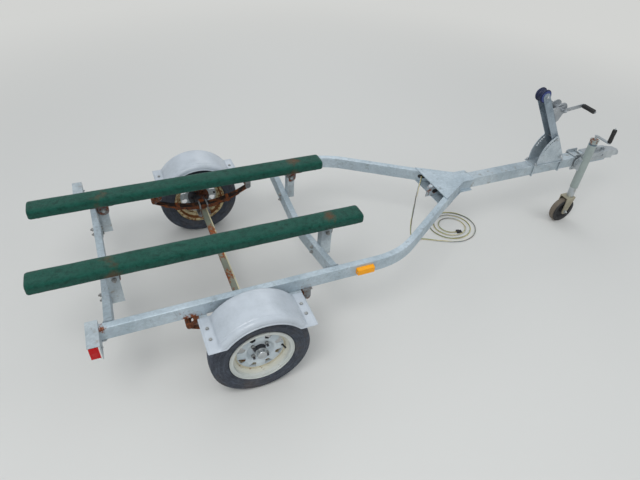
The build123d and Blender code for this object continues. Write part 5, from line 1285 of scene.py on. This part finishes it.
# The arm's zinc is a darker blue grey, with wide clouds and larger crystals.
arm_zinc = weathered(
    "dark_grey_arm_zinc",
    ("#a7b4bd", "#84929d", "#5d6a76"),
    new_rust,
    metal=0.45,
    rough=0.5,
    cloud_mm=140,
    stain_level=0.6,
    rust_level=0.05,
    facet_mm=10,
)
dress(["bow_arm"], arm_zinc)
dress(["bow_roller"], moulded("navy_roller_rubber", "#141e40", "#27325a", 0.5))
pivot = np.array([1.3725, 0.0, rail_top + 0.046])
arm_way = np.array([-0.559193, 0.0, 0.829038])
arm_front = np.array([0.829038, 0.0, 0.559193])


def on_arm(distance, front, y):
    """A point a distance up the arm from its pivot, forward of its middle line, at a width."""
    return pivot + distance * arm_way + front * arm_front + np.array([0, y, 0])


def through(place, half_width, thread):
    """A bolt across the trailer through a place: its head bears on the left side and its nut on the right."""
    reach = np.array([0, half_width, 0])
    return bolt_head(place + reach, left_way, thread) + nut(place - reach, right_way, thread)


plate_half = 0.0455
lock_bolt = 0.178
roller_bolt = 0.575
bracket_bolts = []
for bolt_x in (-0.2067, 0.035):
    for leg_y in (-0.0435, 0.0435):
        bracket_bolts += nut((pivot[0] + bolt_x, leg_y, rail_top + 0.005), up_way, 0.010)
bracket_bolts += through(pivot, 0.045, 0.012)
solid("bow_bracket_bolts", bracket_bolts, cap_zinc, "chassis", 30)
foot_welds = []
for weld_y in (-plate_half, plate_half):
    foot_weld = [(pivot[0] + x, weld_y, rail_top + 0.0055) for x in (-0.192, 0.021)]
    foot_welds.append(bead(foot_weld, 0.005))
solid("bow_bracket_welds", foot_welds, weld_zinc, "chassis", 60)
arm_bolts = through(on_arm(lock_bolt, 0, 0), plate_half, 0.010)
shank = [(0, -0.0915), (0.005, -0.0915), (0.005, 0.0005), (0, 0.0005)]
arm_bolts.append(spun(shank, on_arm(lock_bolt, 0, plate_half), left_way))
arm_bolts += through(on_arm(roller_bolt, 0, 0), 0.0352, 0.010)
for bolt_along in (0.340, 0.430):
    for bolt_y in (-0.022, 0.022):
        arm_bolts += bolt_head(on_arm(bolt_along, 0.029, bolt_y), arm_front, 0.008)
solid("bow_arm_bolts", arm_bolts, cap_zinc, "bow_stop", 30)
roller_low, roller_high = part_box("bow_roller")
roller_half = (roller_high[1] - roller_low[1]) / 2
flange_profile = [(0.0152, 0.0), (0.0152, 0.0012), (0.031, 0.0014), (0.0355, 0.0009), (0.037, -0.001)]
flange_profile += [(0.0365, -0.003), (0.0152, -0.003), (0.0152, 0.0)]
flange_violet = moulded("violet_roller_flange", "#2b3a76", "#445185", 0.45)
flanges = [spun(flange_profile, on_arm(roller_bolt, 0, y * roller_half), (0, y, 0), 48) for y in (1, -1)]
solid("roller_end_flanges", flanges, flange_violet, "roller", 30)


# Winch: pressed steel, zinc plated and gone dull, with two cheeks welded to the arm and a drum and ratchet
# between them. Its crank has a ribbed black rubber grip, and a small coil spring holds the pawl down.
winch_zinc = weathered(
    "dull_winch_zinc",
    ("#b2b7bb", "#989ea3", "#7f7a70"),
    new_rust,
    metal=0.65,
    rough=0.42,
    cloud_mm=60,
    stain_level=0.45,
    rust_level=0.17,
)
dress(["winch_frame", "winch_drum"], winch_zinc)
winch_along = 0.385
winch_front = 0.087
winch_skins = []
for cheek_y in (-0.037, 0.037):
    cheek_weld = [on_arm(winch_along + x, 0.0295, cheek_y * 0.9) for x in (-0.058, 0.058)]
    winch_skins.append(bead(cheek_weld, 0.004))
# The pawl's spring: six turns of 7.2 mm radius that move 4 mm outwards.
pawl_coil_r = 0.0072
pawl_turn = np.linspace(0, 2 * pi * 6, 160)
pawl_spring = np.stack(
    [on_arm(winch_along + 0.041 + pawl_coil_r * cos(a), 0.053 + pawl_coil_r * sin(a), 0) for a in pawl_turn]
)
pawl_spring[:, 1] = 0.0378 + 0.0040 * pawl_turn / pawl_turn[-1]
winch_skins.append(pipe(pawl_spring, 0.0006, 6, (0.1, 1, 0.2)))
solid("winch_welds_and_spring", winch_skins, winch_zinc, "bow_stop", 40)
shaft_nuts = nut(on_arm(winch_along, winch_front, -0.0572), right_way, 0.010)
shaft_nuts += bolt_head(on_arm(winch_along, winch_front, 0.0538), left_way, 0.008)
solid("winch_shaft_nuts", shaft_nuts, winch_zinc, "winch", 30)
# Grips: moulded black rubber, soft and faintly dusty.
grip_rubber = moulded("black_grip_rubber", "#161719", "#34332f", 0.5)
grip_r = 0.015


def ribbed_grip(replaced, place, axis, length, body):
    """A moulded sleeve: its radius swells in 17 even ribs, and draws in at both ends to close in a dome."""
    run = np.linspace(0, 1, 180)
    inside = np.clip((0.5 - np.abs(run - 0.5) - 0.05) / 0.02, 0, 1)
    ribs = np.clip(np.sin(2 * pi * run * 17) * 1.6, -1, 1) * inside
    radius = grip_r * (0.93 + 0.055 * ribs + 0.03 * np.cos(2 * pi * run))
    radius *= np.clip((1 - np.abs(2 * run - 1) ** 24), 0, 1) ** 0.4
    profile = np.stack([np.minimum(radius, grip_r), run * length], -1)
    profile[0, 0] = profile[-1, 0] = 0
    sleeve = spun(profile, place, axis, 40)
    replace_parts(solid("ribbed_" + replaced, [sleeve], grip_rubber, body, 60), replaced)


grip_low, grip_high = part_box("winch_grip")
grip_x, grip_y, grip_z = middle("winch_grip")
ribbed_grip("winch_grip", (grip_x, grip_high[1], grip_z), right_way, grip_high[1] - grip_low[1], "winch")


# Coupler: a channel and ball socket pressed in one from steel plate, bolted over the tongue's nose, with a
# riveted latch lever. Its zinc is still bright, over rust freckles.
bright_zinc = weathered(
    "bright_zinc_plate",
    ("#c4cacd", "#a9b0b4", "#8d8779"),
    new_rust,
    metal=0.7,
    rough=0.36,
    cloud_mm=50,
    stain_level=0.5,
    rust_level=0.17,
    patches=[
        ((along(3.43), 0.03, rail_bottom), 0.06, 0.16),
        ((along(3.62), 0.0, rail_top + 0.01), 0.04, 0.12),
    ],
)
dress(["coupler", "coupler_latch"], bright_zinc)
coupler_bolts = []
for hole_x in (along(3.574), along(3.490)):
    coupler_bolts += bolt_head((hole_x, 0.022, rail_top + 0.004), up_way, 0.012)
    coupler_bolts += nut((hole_x, 0.022, rail_top - 0.076), down_way, 0.012)
for side in (-1, 1):
    coupler_bolts += bolt_head((along(3.60), side * 0.0424, rail_z + 0.012), (0, side, 0), 0.010)
rivet_head = [(0, -0.0005), (0.0078, -0.0005), (0.0076, 0.0008), (0.006, 0.0024)]
rivet_head += [(0.003, 0.0034), (0, 0.0036)]
for side in (-1, 1):
    rivet_place = (along(3.624), side * 0.014, rail_top + 0.013)
    coupler_bolts.append(spun(rivet_head, rivet_place, (0, side, 0), 20))
solid("coupler_bolts", coupler_bolts, cap_zinc, "chassis", 30)


# Jack: a grey enamelled tube that swings on a zinc-plated clamp, a bright inner tube, a yellow zinc fork and
# a rubber caster. A ring pulls the lock pin, and a faint blue band is left round the tube under its cap.
jack_low, jack_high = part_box("jack_tube")
jack_x, jack_y = middle("jack_tube")[:2]


def band_mark(tree, coords):
    """A band 12 mm high round the tube, 28 mm under its cap, whose edges fade over 2 mm."""
    z = add(tree, "SeparateXYZ", (coords,)).outputs["Z"]
    off = add(tree, "Math", (z, jack_high[2] - 0.034), operation="SUBTRACT")
    off = add(tree, "Math", (off,), operation="ABSOLUTE")
    return add(tree, "MapRange", {"Value": off, "From Min": 0.007, "From Max": 0.005, "To Max": 0.8})


jack_enamel = weathered(
    "grey_jack_enamel",
    ("#a4afac", "#939e9b", "#777c77"),
    new_rust,
    metal=0.15,
    rough=0.38,
    cloud_mm=90,
    stain_level=0.35,
    rust_level=0.06,
    patches=[((jack_x, jack_y, jack_high[2]), 0.07, 0.3), ((jack_x, jack_y, jack_low[2]), 0.05, 0.3)],
    zones=[("#33586f", 0.0, band_mark)],
)
dress(["jack_tube"], jack_enamel)
dress(["jack_mount", "jack_bracket", "jack_crank", "jack_leg"], bright_zinc)
# Fork: yellow zinc plate, faded to straw, with freckles of rust.
yellow_zinc = weathered(
    "yellow_zinc_plate",
    ("#b4ad97", "#9c9582", "#8a7a57"),
    new_rust,
    metal=0.6,
    rough=0.42,
    cloud_mm=40,
    stain_level=0.35,
    rust_level=0.14,
)
dress(["jack_fork"], yellow_zinc)
mount_bolts = []
for bolt_x in (-0.036, 0.036):
    for bolt_z in (-0.0435, 0.0435):
        mount_bolts += bolt_head((jack_x + bolt_x, 0.044, rail_z + bolt_z), left_way, 0.010)
solid("jack_mount_bolts", mount_bolts, cap_zinc, "chassis", 30)
ring_r = 0.0115
ring_turn = np.linspace(0, 2 * pi, 60)
ring_middle = np.array([jack_x + 0.039, jack_y + 0.0215, rail_z - ring_r])
ring_line = ring_middle + ring_r * np.stack([np.sin(ring_turn), 0 * ring_turn, np.cos(ring_turn)], -1)
jack_skins = [pipe(ring_line, 0.0013, 10, (0.1, 1, 0.2))]
for saddle_z in (rail_z - 0.044, rail_z + 0.044):
    for saddle_x in (-0.0287, 0.0287):
        saddle_weld = [
            (jack_x + saddle_x, jack_y + 0.002, saddle_z),
            (jack_x + saddle_x * 0.98, jack_y + 0.030, saddle_z),
        ]
        jack_skins.append(bead(saddle_weld, 0.0045))
solid("jack_pin_and_welds", jack_skins, bright_zinc, "jack", 40)
grip_low, grip_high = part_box("jack_grip")
grip_x, grip_y, grip_z = middle("jack_grip")
ribbed_grip("jack_grip", (grip_x, grip_y, grip_low[2]), up_way, grip_high[2] - grip_low[2], "jack")
caster_low, caster_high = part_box("jack_wheel")
caster_x = middle("jack_wheel")[0]
caster_r = (caster_high[2] - caster_low[2]) / 2
caster_bolt = through((caster_x, jack_y, caster_r), 0.036, 0.012)
solid("jack_axle_bolt", caster_bolt, cap_zinc, "jack_inner", 30)


def tread_dust(tree, coords):
    """The caster's running face, which fades in over 7 mm towards its rim."""
    far = from_line(tree, coords, (caster_x, 0, caster_r))[2]
    return add(
        tree,
        "MapRange",
        {"Value": far, "From Min": caster_r - 0.008, "From Max": caster_r - 0.001, "To Max": 0.75},
    )


# Caster: solid moulded rubber, dark beside its dusty running face.
caster_rubber = weathered(
    "dusty_caster_rubber",
    ("#2b2b2e", "#222224", "#4b4640"),
    ("#5a4c3d", "#453a30"),
    metal=0.0,
    rough=0.68,
    cloud_mm=30,
    stain_level=0.5,
    rust_level=0.04,
    zones=[("#7d7264", 0.0, tread_dust)],
)
dress(["jack_wheel"], caster_rubber)
# Grommets and plug: moulded rubber, dark and dull.
dress(["grommets", "harness_plug"], moulded("moulded_black_rubber", "#1b1b1c", "#3f3d39", 0.55))
